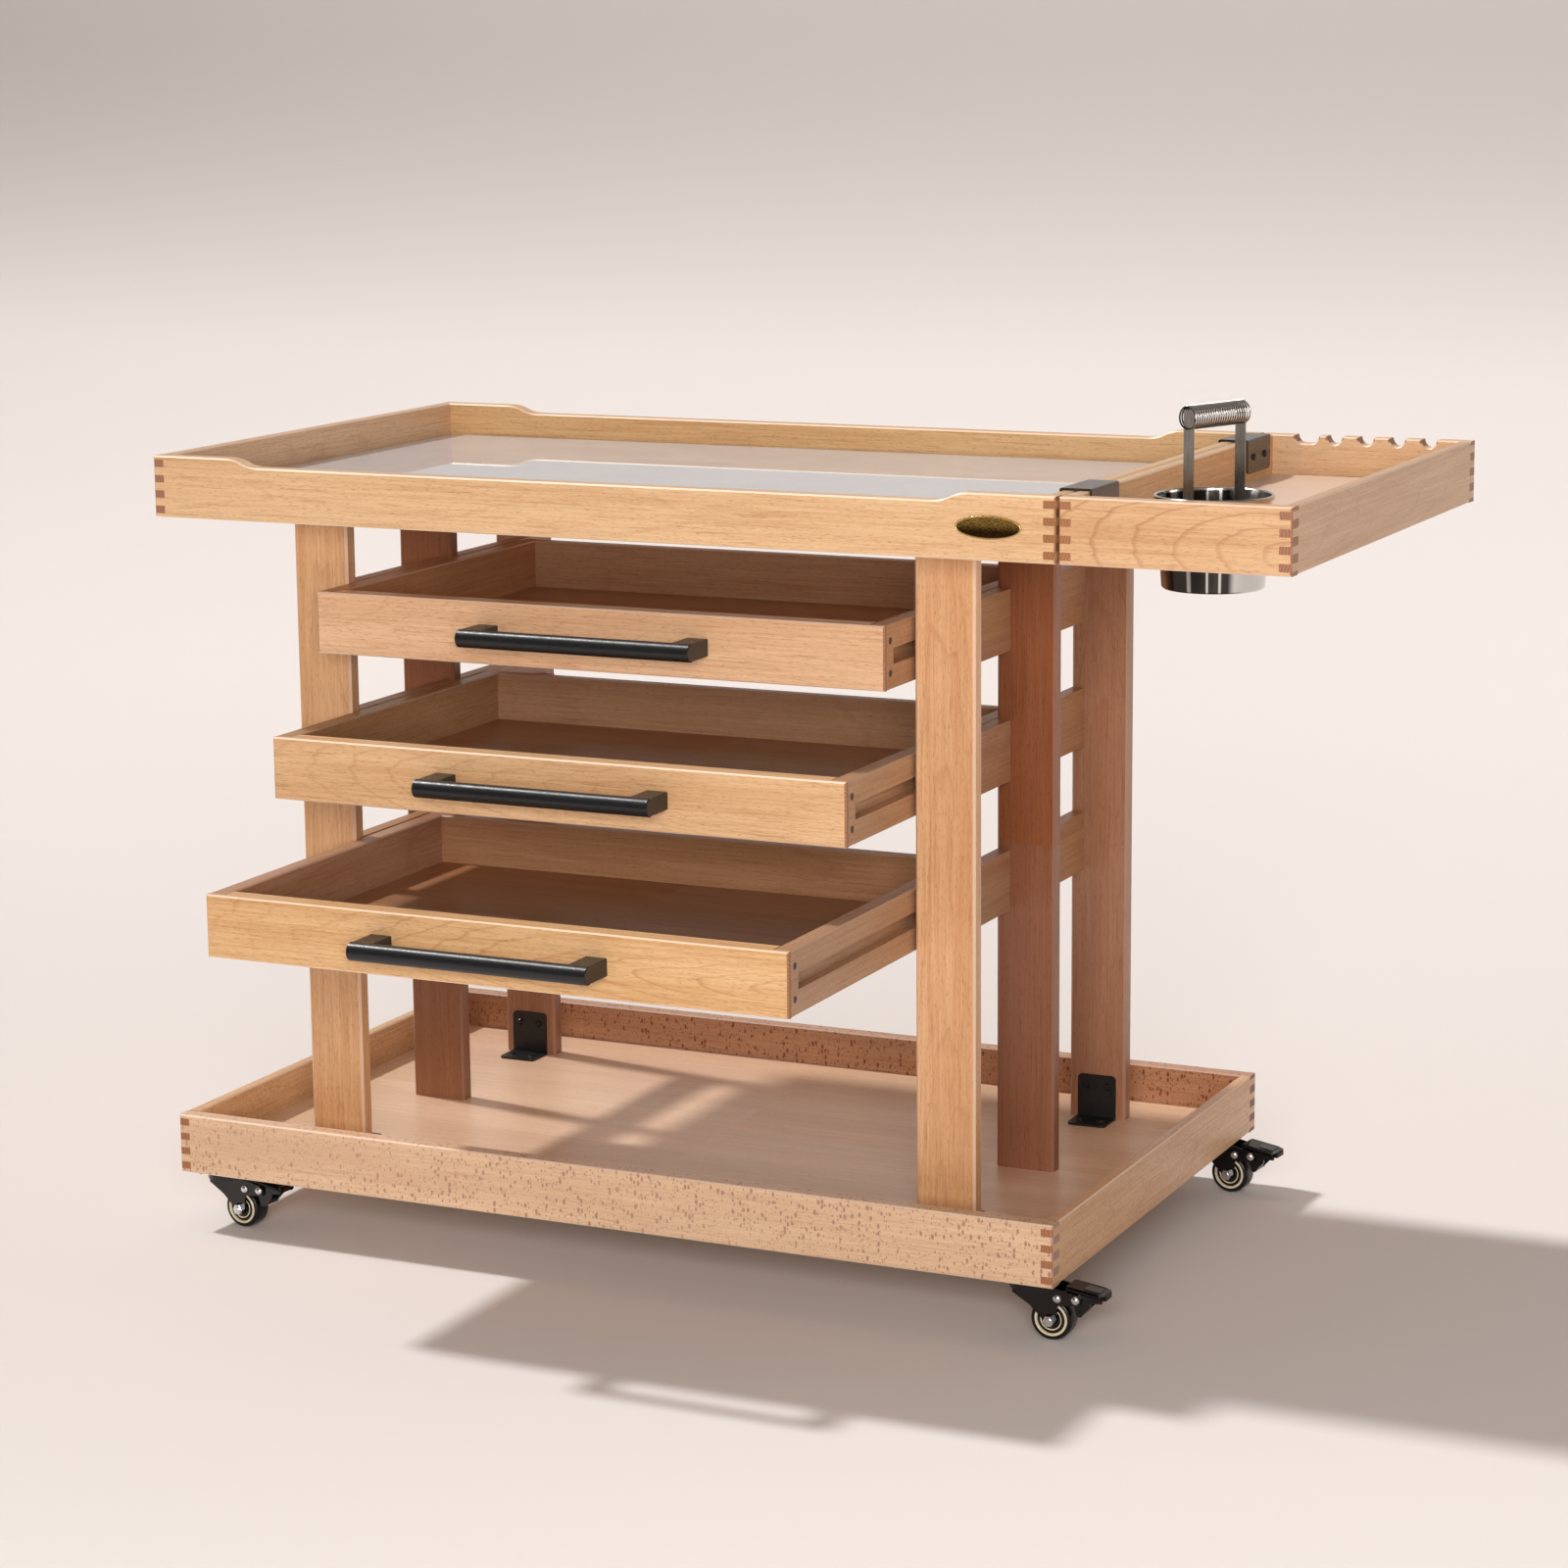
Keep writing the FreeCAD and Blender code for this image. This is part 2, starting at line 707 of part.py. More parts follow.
panel_pilot = "(screw_length - sheet_thick)"
pocket(base_panel, "XY_Plane", "panel_thick - " + panel_pilot, panel_pilot + " + past",
       panel_holes, "screw_holes")
pocket(top_panel, "XY_Plane", "-past", panel_pilot + " + past", panel_holes, "screw_holes")
for owner, head_from in ((base_panel, "-past"), (top_panel, "panel_thick - " + sunk)):
    pocket(owner, "XY_Plane", "-past", "panel_thick + 2 * past",
           [circle(x, y, side_hole) for x, y in sunk_screws], "post_screw_holes")
    pocket(owner, "XY_Plane", head_from, sunk + " + past",
           [circle(x, y, "side_screw_head / 2 + screw_play") for x, y in sunk_screws], "post_screw_heads")
for row in ("front", "rear"):
    for side in ("left", "right"):
        outputs.append(posts["%s_%s_post" % (row, side)])
outputs.append(group("middle_posts", [posts["middle_left_post"], posts["middle_right_post"]]))
outputs.append(group("post_brackets", bracket_copies))

# drawer guides: a board along each row of posts, and a runner on the board's inner face
guide = body("guide_board")
guide_long = "(%s - front_post_y - post_thick + 2 * guide_housing)" % rear_post_y
pad(guide, "YZ_Plane", "0", "guide_thick", [box_loop("0", guide_long, "0", "rail_height")])
runner = body("runner")
runner_high = "(runner_groove_height - runner_play)"
runner_deep = "(drawer_gap + runner_groove_depth - runner_play)"
runner_y = "(front_post_y + drawer_front_thick + panel_play)"
runner_long = "(%s - post_ease - %s)" % (rear_post_y, runner_y)
pad(runner, "YZ_Plane", "0", runner_deep, [box_loop("0", runner_long, "0", runner_high)])
ease(runner, "Chamfer", "edge_ease", lambda edge: edge.BoundBox.YLength < 0.001, "eased")
guides = []
runners = []
for level in range(3):
    rise = "drawer_rise + %d * drawer_pitch" % level
    runner_z = "%s + runner_groove_rise + runner_play - runner_top_play" % rise
    for side in ("left", "right"):
        guide_x = "post_inset + post_wide - guide_thick" if side == "left" else far_post_x
        made = copy_of(guide, "guide_%s_%d" % (side, level))
        place(made, guide_x, "front_post_y + post_thick - guide_housing", rise)
        guides.append(made)
        runner_x = "post_inset + post_wide" if side == "left" else "%s - %s" % (far_post_x, runner_deep)
        made = copy_of(runner, "runner_%s_%d" % (side, level))
        place(made, runner_x, runner_y, runner_z)
        runners.append(made)
outputs.append(group("drawer_guide_boards", guides))
outputs.append(group("drawer_runners", runners))

# plate on the top tray's front rail, left bare
oval = doc.addObject("Part::Ellipse", "oval")
bind(oval, "MajorRadius", "badge_long / 2")
bind(oval, "MinorRadius", "badge_tall / 2")
badge = doc.addObject("Part::Extrusion", "badge_plate")
badge.Label = "badge_plate"
badge.Base = oval
badge.DirMode = "Custom"
badge.Dir = upward
bind(badge, "LengthFwd", "badge_thick")
badge.Solid = True
turn(badge, sideways, 90)
place(badge, "tray_length - badge_from_end", "0", "tray_rise + rail_height / 2")
outputs.append(badge)

foot_from = "(%s - handle_spacing) / 2" % drawer_wide
foot_at = (foot_from, "(%s + handle_spacing)" % foot_from)
screw_levels = ("rail_height / 4", "3 * rail_height / 4")


def drawer(prefix, level, opening):
    rise = "drawer_rise + %d * drawer_pitch" % level
    face_y = "front_post_y - %s" % opening
    front = body(prefix + "_drawer_front")
    pad(front, "XY_Plane", "0", "rail_height",
        [[("0", "0"), (drawer_wide, "0"), (drawer_wide, "drawer_lip"),
          ("%s - drawer_side_thick" % drawer_wide, "drawer_lip"),
          ("%s - drawer_side_thick" % drawer_wide, "drawer_front_thick"),
          ("drawer_side_thick", "drawer_front_thick"), ("drawer_side_thick", "drawer_lip"),
          ("0", "drawer_lip")]])
    ease(front, "Chamfer", "edge_ease", lambda edge: flat(edge, "Y", 0), "eased")
    groove_side = "drawer_side_thick - past"
    pocket(front, "XZ_Plane", "drawer_front_thick - panel_groove", "panel_groove + past",
           [box_loop(groove_side, "%s - (%s)" % (drawer_wide, groove_side), "drawer_bottom_rise",
                     "drawer_bottom_rise + drawer_bottom_thick")], "bottom_groove")
    pocket(front, "XZ_Plane", "-past", "drawer_front_thick + 2 * past",
           [circle(at, "handle_rise", side_hole) for at in foot_at], "handle_holes")
    screw_rings = [circle("side_screw_back", at, side_hole) for at in screw_levels]
    into = "side_screw_length - drawer_side_thick + past"
    pocket(front, "YZ_Plane", "drawer_side_thick - past", into, screw_rings, "left_screw_holes")
    pocket(front, "YZ_Plane", "%s - side_screw_length" % drawer_wide, into, screw_rings,
           "right_screw_holes")
    place(front, drawer_x, face_y, rise)
    outputs.append(front)

    side_long = "(drawer_depth - drawer_lip)"
    boards = []
    for side in ("left", "right"):
        made = body("%s_drawer_%s_side" % (prefix, side))
        pad(made, "YZ_Plane", "0", "drawer_side_thick", [box_loop("0", side_long, "0", "rail_height")])
        outer_x = 0 if side == "left" else value("drawer_side_thick")
        high = value("rail_height")
        ease(made, "Chamfer", "edge_ease",
             lambda edge: edge.BoundBox.YLength > 1 and (flat(edge, "Z", high) or flat(edge, "X", outer_x)),
             "eased")
        from_x = "-past" if side == "left" else "drawer_side_thick - runner_groove_depth"
        pocket(made, "YZ_Plane", from_x, "runner_groove_depth + past",
               [box_loop("drawer_front_thick - drawer_lip", side_long + " + past",
                         "runner_groove_rise", "runner_groove_rise + runner_groove_height")],
               "runner_groove")
        from_x = "drawer_side_thick - panel_groove" if side == "left" else "-past"
        pocket(made, "YZ_Plane", from_x, "panel_groove + past",
               [box_loop("-past", side_long + " + past", "drawer_bottom_rise",
                         "drawer_bottom_rise + drawer_bottom_thick")], "bottom_groove")
        rings = [circle("side_screw_back - drawer_lip", at, side_hole) for at in screw_levels]
        pocket(made, "YZ_Plane", "-past", "drawer_side_thick + 2 * past", rings, "screw_holes")
        for index, at in enumerate(screw_levels):
            cut = made.newObject("PartDesign::Groove", "countersink_%d" % (index + 1))
            deep = "(side_screw_head_height + screw_play)"
            wide = "(side_screw_head / 2 + screw_play)"
            near = "0" if side == "left" else "drawer_side_thick"
            inner = deep if side == "left" else "drawer_side_thick - " + deep
            sketch = outline(made, "XY_Plane", at, [[
                (near, "side_screw_back - drawer_lip"),
                (near, "side_screw_back - drawer_lip + " + wide),
                (inner, "side_screw_back - drawer_lip + " + side_hole),
                (inner, "side_screw_back - drawer_lip")]], "cone_outline_%d" % (index + 1))
            cut.Profile = sketch
            middle = sketch.addGeometry(Part.LineSegment(FreeCAD.Vector(-1, 0, 0), FreeCAD.Vector(1, 0, 0)))
            sketch.toggleConstruction(middle)
            sketch.addConstraint(Sketcher.Constraint("Horizontal", middle))
            rule = Sketcher.Constraint("DistanceY", -1, 1, middle, 1, value("side_screw_back - drawer_lip"))
            bind(sketch, "Constraints[%d]" % sketch.addConstraint(rule), "side_screw_back - drawer_lip")
            cut.ReferenceAxis = (sketch, ["Axis0"])
            cut.Angle = 360
            doc.recompute()
        x = drawer_x if side == "left" else "%s + %s - drawer_side_thick" % (drawer_x, drawer_wide)
        place(made, x, "%s + drawer_lip" % face_y, rise)
        boards.append(made)
    back = body(prefix + "_drawer_back")
    inside = "(%s - 2 * drawer_side_thick)" % drawer_wide
    pad(back, "XZ_Plane", "0", "drawer_back_thick", [box_loop("0", inside, "0", "rail_height")])
    ease(back, "Chamfer", "edge_ease",
         lambda edge: edge.BoundBox.XLength > 1 and flat(edge, "Z", value("rail_height")), "eased")
    pocket(back, "XZ_Plane", "-past", "panel_groove + past",
           [box_loop("-past", inside + " + past", "drawer_bottom_rise",
                     "drawer_bottom_rise + drawer_bottom_thick")], "bottom_groove")
    place(back, drawer_x + " + drawer_side_thick", "%s + drawer_depth - drawer_back_thick" % face_y, rise)
    boards.append(back)
    outputs.append(group(prefix + "_drawer_box", boards))

    bottom = body(prefix + "_drawer_bottom")
    reach = "(panel_groove - panel_play)"
    deep = "(drawer_depth - drawer_front_thick - drawer_back_thick + 2 * %s)" % reach
    pad(bottom, "XY_Plane", "0", "drawer_bottom_thick",
        [box_loop("0", "%s + 2 * %s" % (inside, reach), "0", deep)])
    place(bottom, "%s + drawer_side_thick - %s" % (drawer_x, reach),
          "%s + drawer_front_thick - %s" % (face_y, reach), rise + " + drawer_bottom_rise")
    outputs.append(bottom)

    handle = body(prefix + "_drawer_handle")
    half = "handle_length / 2"
    bar_y = "(bar_diameter / 2 - handle_reach)"
    pad(handle, "YZ_Plane", "-" + half, "handle_length", [circle(bar_y, "0", "bar_diameter / 2")], "bar")
    ease(handle, "Chamfer", "edge_ease / 2",
         lambda edge: edge.BoundBox.XLength < 0.001, "bar_ends")
    tall = "((bar_diameter - handle_foot_step) / 2)"
    for side in ("-", ""):
        low = "%s(handle_spacing / 2) - handle_foot_wide / 2" % side
        pad(handle, "XZ_Plane", bar_y, "-1 * " + bar_y,
            [round_loop(low, low + " + handle_foot_wide", "-" + tall, tall, "handle_ease")],
            "left_foot" if side else "right_foot")
    pocket(handle, "XZ_Plane", "-(handle_screw_grip + past)", "handle_screw_grip + 2 * past",
           [circle("-handle_spacing / 2", "0", side_hole), circle("handle_spacing / 2", "0", side_hole)],
           "screw_holes")
    place(handle, "%s + %s / 2" % (drawer_x, drawer_wide), face_y, rise + " + handle_rise")
    outputs.append(handle)

    fasteners = []
    for side, turned in (("left", -90), ("right", 90)):
        for index, at in enumerate(screw_levels):
            made = copy_of(side_screw, "%s_%s_screw_%d" % (prefix, side, index))
            turn(made, backward, turned)
            x = drawer_x if side == "left" else "%s + %s" % (drawer_x, drawer_wide)
            place(made, x, "%s + side_screw_back" % face_y, "%s + %s" % (rise, at))
            fasteners.append(made)
    for index, at in enumerate(foot_at):
        made = copy_of(long_screw, "%s_handle_screw_%d" % (prefix, index))
        turn(made, sideways, -90)
        place(made, "%s + %s" % (drawer_x, at), face_y + " + drawer_front_thick", rise + " + handle_rise")
        fasteners.append(made)
    outputs.append(group(prefix + "_drawer_screws", fasteners))


drawer("bottom", 0, "bottom_open")
drawer("middle", 1, "middle_open")
drawer("top", 2, "top_open")

# the side tray hangs by two bent brackets over the two rails that stand side by side
hanger = body("hanging_bracket")
lip_x = "-(end_rail_thick + hanger_play + sheet_thick)"
pad(hanger, "XZ_Plane", "0", "hanger_long", [[
    (lip_x, "-hanger_lip"), ("-(end_rail_thick + hanger_play)", "-hanger_lip"),
    ("-(end_rail_thick + hanger_play)", "0"), ("tray_gap + end_rail_thick", "0"),
    ("tray_gap + end_rail_thick", "-hanger_drop"),
    ("tray_gap + end_rail_thick + sheet_thick", "-hanger_drop"),
    ("tray_gap + end_rail_thick + sheet_thick", "sheet_thick"), (lip_x, "sheet_thick")]], "bent_sheet")
ease(hanger, "Fillet", "hanger_bend",
     lambda edge: edge.BoundBox.YLength > 1 and flat(edge, "Z", value("sheet_thick")), "bends")
ease(hanger, "Fillet", "bracket_corner",
     lambda edge: edge.BoundBox.XLength > 0.01 and flat(edge, "Z", -value("hanger_drop")),
     "flange_corners")
hanger_screw_z = "-hanger_drop / 2"
pocket(hanger, "YZ_Plane", "tray_gap + end_rail_thick - past", "sheet_thick + 2 * past",
       [circle("hanger_long / 4", hanger_screw_z, hole), circle("3 * hanger_long / 4", hanger_screw_z, hole)],
       "screw_holes")
hangers = []
hanger_screws = []
rail_rings = []
for name, hanger_y in (("front", "hanger_front_y"), ("rear", "tray_depth - hanger_rear_inset - hanger_long")):
    made = copy_of(hanger, name + "_hanging_bracket")
    place(made, "tray_length", hanger_y, "tray_rise + rail_height")
    hangers.append(made)
    for share in ("hanger_long / 4", "3 * hanger_long / 4"):
        made = copy_of(screw, "%s_hanger_screw_%d" % (name, len(hanger_screws)))
        turn(made, backward, 90)
        place(made, side_x + " + end_rail_thick + sheet_thick", "%s + %s" % (hanger_y, share),
              "tray_rise + rail_height + " + hanger_screw_z)
        hanger_screws.append(made)
        rail_rings.append(circle("%s + %s" % (hanger_y, share), "rail_height + " + hanger_screw_z, pilot))
side_left_rail = [item for item in outputs if item.Label == "side_tray_left_rail"][0]
pocket(side_left_rail, "YZ_Plane", "end_rail_thick - %s" % panel_pilot, panel_pilot + " + past",
       rail_rings, "screw_holes")
outputs.append(group("hanging_brackets", hangers))
outputs.append(group("hanging_bracket_screws", hanger_screws))

# brush bucket: a thin tapered wall with a rolled rim, made by turning one outline
bucket = body("brush_bucket")
low_radius = "bucket_bottom / 2"
top_radius = "bucket_top / 2"
rim = "bucket_height"
roll = "bucket_roll"
revolve(bucket, "XZ_Plane", [
    ("0", "0"), (low_radius + " - edge_ease", "0"), (low_radius, "edge_ease"),
    (top_radius, rim + " - 2 * " + roll), (top_radius + " + " + roll, rim + " - 2 * " + roll),
    (top_radius + " + " + roll, rim + " - " + roll + " / 2"),
    (top_radius + " + " + roll + " / 2", rim), (top_radius, rim),
    (top_radius + " - metal_skin", rim + " - " + roll + " / 2"),
    (low_radius + " - metal_skin", "edge_ease + metal_skin"),
    (low_radius + " - metal_skin - edge_ease", "metal_skin"), ("0", "metal_skin")])
bucket_base = "(%s - bucket_height)" % bucket_rim_z
place(bucket, bucket_x, "bucket_y", bucket_base)
outputs.append(bucket)

# brush holder: a basket with a perforated floor, and two strips that carry the spring
holder = body("brush_holder_frame")
ring = "basket_diameter / 2"
revolve(holder, "XZ_Plane", [
    (ring + " - metal_skin", "0"), (ring, "0"), (ring, "basket_height"),
    (ring + " - metal_skin", "basket_height"),
    (ring + " - metal_skin", "basket_floor + metal_skin"), ("0", "basket_floor + metal_skin"),
    ("0", "basket_floor"), (ring + " - metal_skin", "basket_floor")], "basket")
rings = [circle("0", "0", "basket_hole / 2")]
for index in range(6):
    angle = "%d" % (60 * index)
    rings.append(circle("basket_hole_ring * cos(%s)" % angle, "basket_hole_ring * sin(%s)" % angle,
                        "basket_hole / 2"))
    angle = "%d" % (60 * index + 30)
    rings.append(circle("2 * basket_hole_ring * cos(%s)" % angle, "2 * basket_hole_ring * sin(%s)" % angle,
                        "basket_hole / 2"))
pocket(holder, "XY_Plane", "basket_floor - past", "metal_skin + 2 * past", rings, "drain_holes")
holder_base = "(%s + metal_skin)" % bucket_base
for side in ("-", ""):
    pad(holder, "YZ_Plane", "%s%s - strip_thick / 2" % (side, strip_spread), "strip_thick",
        [box_loop("-strip_wide / 2", "strip_wide / 2", "basket_floor + metal_skin / 2", "strip_high")],
        "near_strip" if side else "far_strip")
    tab_from = "-(%s - metal_skin / 2)" % ring if side else strip_spread
    pad(holder, "YZ_Plane", tab_from, "%s - metal_skin / 2 - %s" % (ring, strip_spread),
        [box_loop("-strip_wide / 4", "strip_wide / 4", "basket_height - strip_wide / 2",
                  "basket_height - strip_thick")], "near_tab" if side else "far_tab")


ease(holder, "Fillet", "strip_wide / 5",
     lambda edge: flat(edge, "Z", value("strip_high")) and edge.BoundBox.YLength < 0.001, "strip_corners")
turn(holder, upward, value("spring_turn"))
place(holder, bucket_x, "bucket_y", holder_base)
outputs.append(holder)


# Coil spring: one wire along arcs of a quarter turn. Each quarter of the helix is two arcs that meet
# halfway with a common tangent. The wire starts at the top, so each strip passes midway between two turns.
def spring_wire():
    turns = value("spring_turns")
    pitch = value(strip_spread) / value("strip_turns")
    radius = (value("spring_diameter") - value("spring_wire")) / 2
    tail = value("spring_wire")
    start_x = -turns * pitch / 2

    def point(step):
        angle = 2 * math.pi * (step + 0.25)
        return FreeCAD.Vector(start_x + pitch * step, radius * math.cos(angle), radius * math.sin(angle))

    def heading(step):
        angle = 2 * math.pi * (step + 0.25)
        made = FreeCAD.Vector(pitch / (2 * math.pi), -radius * math.sin(angle), radius * math.cos(angle))
        return made.normalize()

    edges = []
    first = point(0)
    edges.append(Part.LineSegment(first - heading(0) * tail, first).toShape())
    quarters = int(round(turns * 4))
    for index in range(quarters):
        low = index / 4.0
        high = (index + 1) / 4.0
        a, b = point(low), point(high)
        ta, tb = heading(low), heading(high)
        chord = b - a
        both = ta + tb
        square = both.dot(both) - 4
        linear = -2 * chord.dot(both)
        reach = (-linear - math.sqrt(linear * linear - 4 * square * chord.dot(chord))) / (2 * square)
        if reach < 0:
            reach = (-linear + math.sqrt(linear * linear - 4 * square * chord.dot(chord))) / (2 * square)
        joint = (a + ta * reach + b - tb * reach) * 0.5
        for start, along, stop in ((a, ta, joint), (joint, None, b)):
            if along is None:
                along = (b - tb * reach - joint).normalize()
            edges.append(arc_from(start, along, stop))
    last = point(turns)
    edges.append(Part.LineSegment(last, last + heading(turns) * tail).toShape())
    return Part.Wire(edges), first, heading(0)


def arc_from(start, along, stop):
    chord = stop - start
    side = chord - along * chord.dot(along)
    side.normalize()
    radius = chord.dot(chord) / (2 * chord.dot(side))
    centre = start + side * radius
    swing = math.atan2(chord.dot(along), radius - chord.dot(side)) / 2
    half = centre - side * (radius * math.cos(swing)) + along * (radius * math.sin(swing))
    return Part.Arc(start, half, stop).toShape()


wire, wire_start, wire_heading = spring_wire()
profile_start = wire_start - wire_heading * value("spring_wire")
section = Part.Wire([Part.makeCircle(value("spring_wire") / 2, profile_start, wire_heading)])
coil = wire.makePipeShell([section], True, False)
spring = doc.addObject("Part::Feature", "brush_spring")
spring.Label = "brush_spring"
spring.Shape = coil
turn(spring, upward, value("spring_turn"))
place(spring, bucket_x, "bucket_y", holder_base + " + strip_high - spring_drop")
outputs.append(spring)
track = wire.discretize(Number=24 * int(value("spring_turns")))
closest = min((track[first] - track[second]).Length
              for first in range(len(track)) for second in range(first + 12, min(first + 60, len(track))))
print("spring: least gap between turns %.2f mm" % (closest - value("spring_wire")))

# casters: corner blocks under the base panel, then plate, fork, wheel and brake pedal for each corner
corners = (("front_left", caster_x, caster_y), ("front_right", "tray_length - " + caster_x, caster_y),
           ("rear_left", caster_x, "tray_depth - " + caster_y),
           ("rear_right", "tray_length - " + caster_x, "tray_depth - " + caster_y))


def corner_block(label, x, right, rear):
    made = body(label)
    pad(made, "XY_Plane", "0", panel_under, [box_loop("0", "block_side", "0", "block_side")])
    from_rail = "(2 * %s - plate_screw_seam)" % plate_screw_side
    up = "block_side - " + from_rail if rear else from_rail
    corner_x = "tray_length - end_rail_thick - block_side" if right else "end_rail_thick"
    loops = []
    for across in ("-", "+"):
        loops.append(circle("%s %s %s - (%s)" % (x, across, plate_screw_side, corner_x), up, pilot))
    pocket(made, "XY_Plane", "-past", panel_pilot + " + past", loops, "screw_holes")
    corner_y = "tray_depth - long_rail_thick - block_side" if rear else "long_rail_thick"
    place(made, corner_x, corner_y, "0")
    return made


plate = body("caster_plate")
half = "plate_side / 2"
pad(plate, "XY_Plane", "-sheet_thick", "sheet_thick", [box_loop("-" + half, half, "-" + half, half)])
ease(plate, "Fillet", "plate_corner", lambda edge: edge.BoundBox.ZLength > 0.1, "rounded")
plate_rings = []
for across in ("-", ""):
    for along in ("-", ""):
        plate_rings.append(circle(across + plate_screw_side, along + plate_screw_side, hole))
pocket(plate, "XY_Plane", "-(sheet_thick + past)", "sheet_thick + 2 * past", plate_rings,
       "screw_holes")
pin_low = "(sheet_thick + fork_gap + fork_sheet + fork_gap)"
pad(plate, "XY_Plane", "-" + pin_low, pin_low, [circle("0", "0", "king_pin / 2")], "king_pin")
pad(plate, "XY_Plane", "-(%s + sheet_thick)" % pin_low, "sheet_thick", [circle("0", "0", "king_head / 2")],
    "king_head")

axle_z = "(caster_height - wheel_diameter / 2)"
fork_top = "(sheet_thick + fork_gap)"
cheek_in = "(wheel_wide / 2 + wheel_side_gap)"
cheek_out = "(%s + fork_sheet)" % cheek_in
spacer_x = "(caster_trail + spacer_out)"
spacer_z = "(%s - wheel_diameter / 2 - spacer_over)" % axle_z
pivot_x = "(caster_trail + pivot_out)"
pivot_z = "(%s - wheel_diameter / 2 - pivot_over)" % axle_z
bearing = "(axle_diameter / 2 + turning_play)"
rivet_hole = "(rivet_diameter / 2 + turning_play)"


def fork_body(label):
    made = body(label)
    crown_low = "-(%s + fork_crown)" % fork_top
    pad(made, "XY_Plane", crown_low, "fork_crown", [circle("0", "0", "fork_radius")], "crown")
    ease(made, "Chamfer", "edge_ease",
         lambda edge: flat(edge, "Z", -value(fork_top)), "crown_edge")
    hollow = "fork_radius - fork_sheet"
    pocket(made, "XY_Plane", crown_low + " - past", "fork_crown - fork_sheet + past",
           [circle("0", "0", hollow)], "crown_hollow")
    pocket(made, "XY_Plane", crown_low + " - past", "fork_crown + 2 * past",
           [circle("0", "0", "king_pin / 2 + turning_play")], "king_hole")
    cheek = [
        ("-cheek_back", "-%s - fork_sheet" % fork_top), ("-cheek_back", "-cheek_back_low"),
        ("caster_trail - cheek_wing_out", "-%s + cheek_wing_up" % axle_z),
        ("caster_trail - cheek_round", "-" + axle_z, "caster_trail", "-" + axle_z, 1),
        ("caster_trail + cheek_round", "-" + axle_z),
        ("caster_trail + cheek_front_out", "-%s + cheek_front_up" % axle_z),
        (pivot_x + " + lug_low_out", "-%s - lug_low" % pivot_z), (pivot_x + " + lug_out", "-%s + lug_up" % pivot_z),
        (pivot_x + " + lug_top_out", "-%s + lug_top" % pivot_z),
        ("fork_radius - edge_ease", "-%s - fork_sheet" % fork_top),
    ]
    for side, start in (("left", "-" + cheek_out), ("right", cheek_in)):
        pad(made, "XZ_Plane", start, "fork_sheet", [cheek], side + "_cheek")
    holes = [circle("caster_trail", "-" + axle_z, bearing), circle(spacer_x, "-" + spacer_z, rivet_hole),
             circle(pivot_x, "-" + pivot_z, rivet_hole)]
    pocket(made, "XZ_Plane", "-wheel_wide", "2 * wheel_wide", holes, "cross_holes")
    return made


def rivet(label):
    made = body(label)
    end = "(%s + turning_play)" % cheek_out
    low = "rivet_head_high / 2"
    dome = "rivet_head / 2"
    pin = "rivet_diameter / 2"
    revolve(made, "XY_Plane", [
        ("0", "-%s - rivet_head_high" % end), (dome + " * pan_share", "-%s - rivet_head_high" % end),
        (dome, "-%s - %s" % (end, low)), (dome, "-" + end), (pin, "-" + end),
        (pin, end), (dome, end), (dome, "%s + %s" % (end, low)),
        (dome + " * pan_share", "%s + rivet_head_high" % end), ("0", "%s + rivet_head_high" % end)])
    return made


def axle_body(label):
    made = body(label)
    end = "(%s + turning_play)" % cheek_out
    pin = "axle_diameter / 2"
    pad(made, "XZ_Plane", "-(%s + nut_high)" % end, "2 * (%s + nut_high)" % end,
        [circle("0", "0", pin)], "shank")
    flats = "nut_across / 2"
    corner = "nut_across / sqrt(3)"
    hexagon = [(corner, "0"), (corner + " / 2", flats), ("-%s / 2" % corner, flats), ("-" + corner, "0"),
               ("-%s / 2" % corner, "-" + flats), (corner + " / 2", "-" + flats)]
    pad(made, "XZ_Plane", "-(%s + nut_high)" % end, "nut_high", [hexagon], "nut")
    pad(made, "XZ_Plane", end, "nut_high", [hexagon], "head")
    return made


def wheel_body(label):
    made = body(label)
    rim = "wheel_diameter / 2"
    half = "wheel_wide / 2"
    ring = "wheel_ring / 2"
    deep = "(%s - wheel_recess)" % half
    flank = "(%s - tyre_step)" % half
    shoulder = "(%s - tyre_shoulder)" % half
    revolve(made, "XY_Plane", [
        (bearing, "-" + half), ("wheel_hub / 2", "-" + half), ("wheel_hub / 2", "-" + deep), (ring, "-" + deep),
        (ring, "-" + flank), (rim + " - tyre_round", "-" + flank), (rim, "-" + shoulder), (rim, shoulder),
        (rim + " - tyre_round", flank), (ring, flank), (ring, deep), ("wheel_hub / 2", deep),
        ("wheel_hub / 2", half), (bearing, half)])
    return made


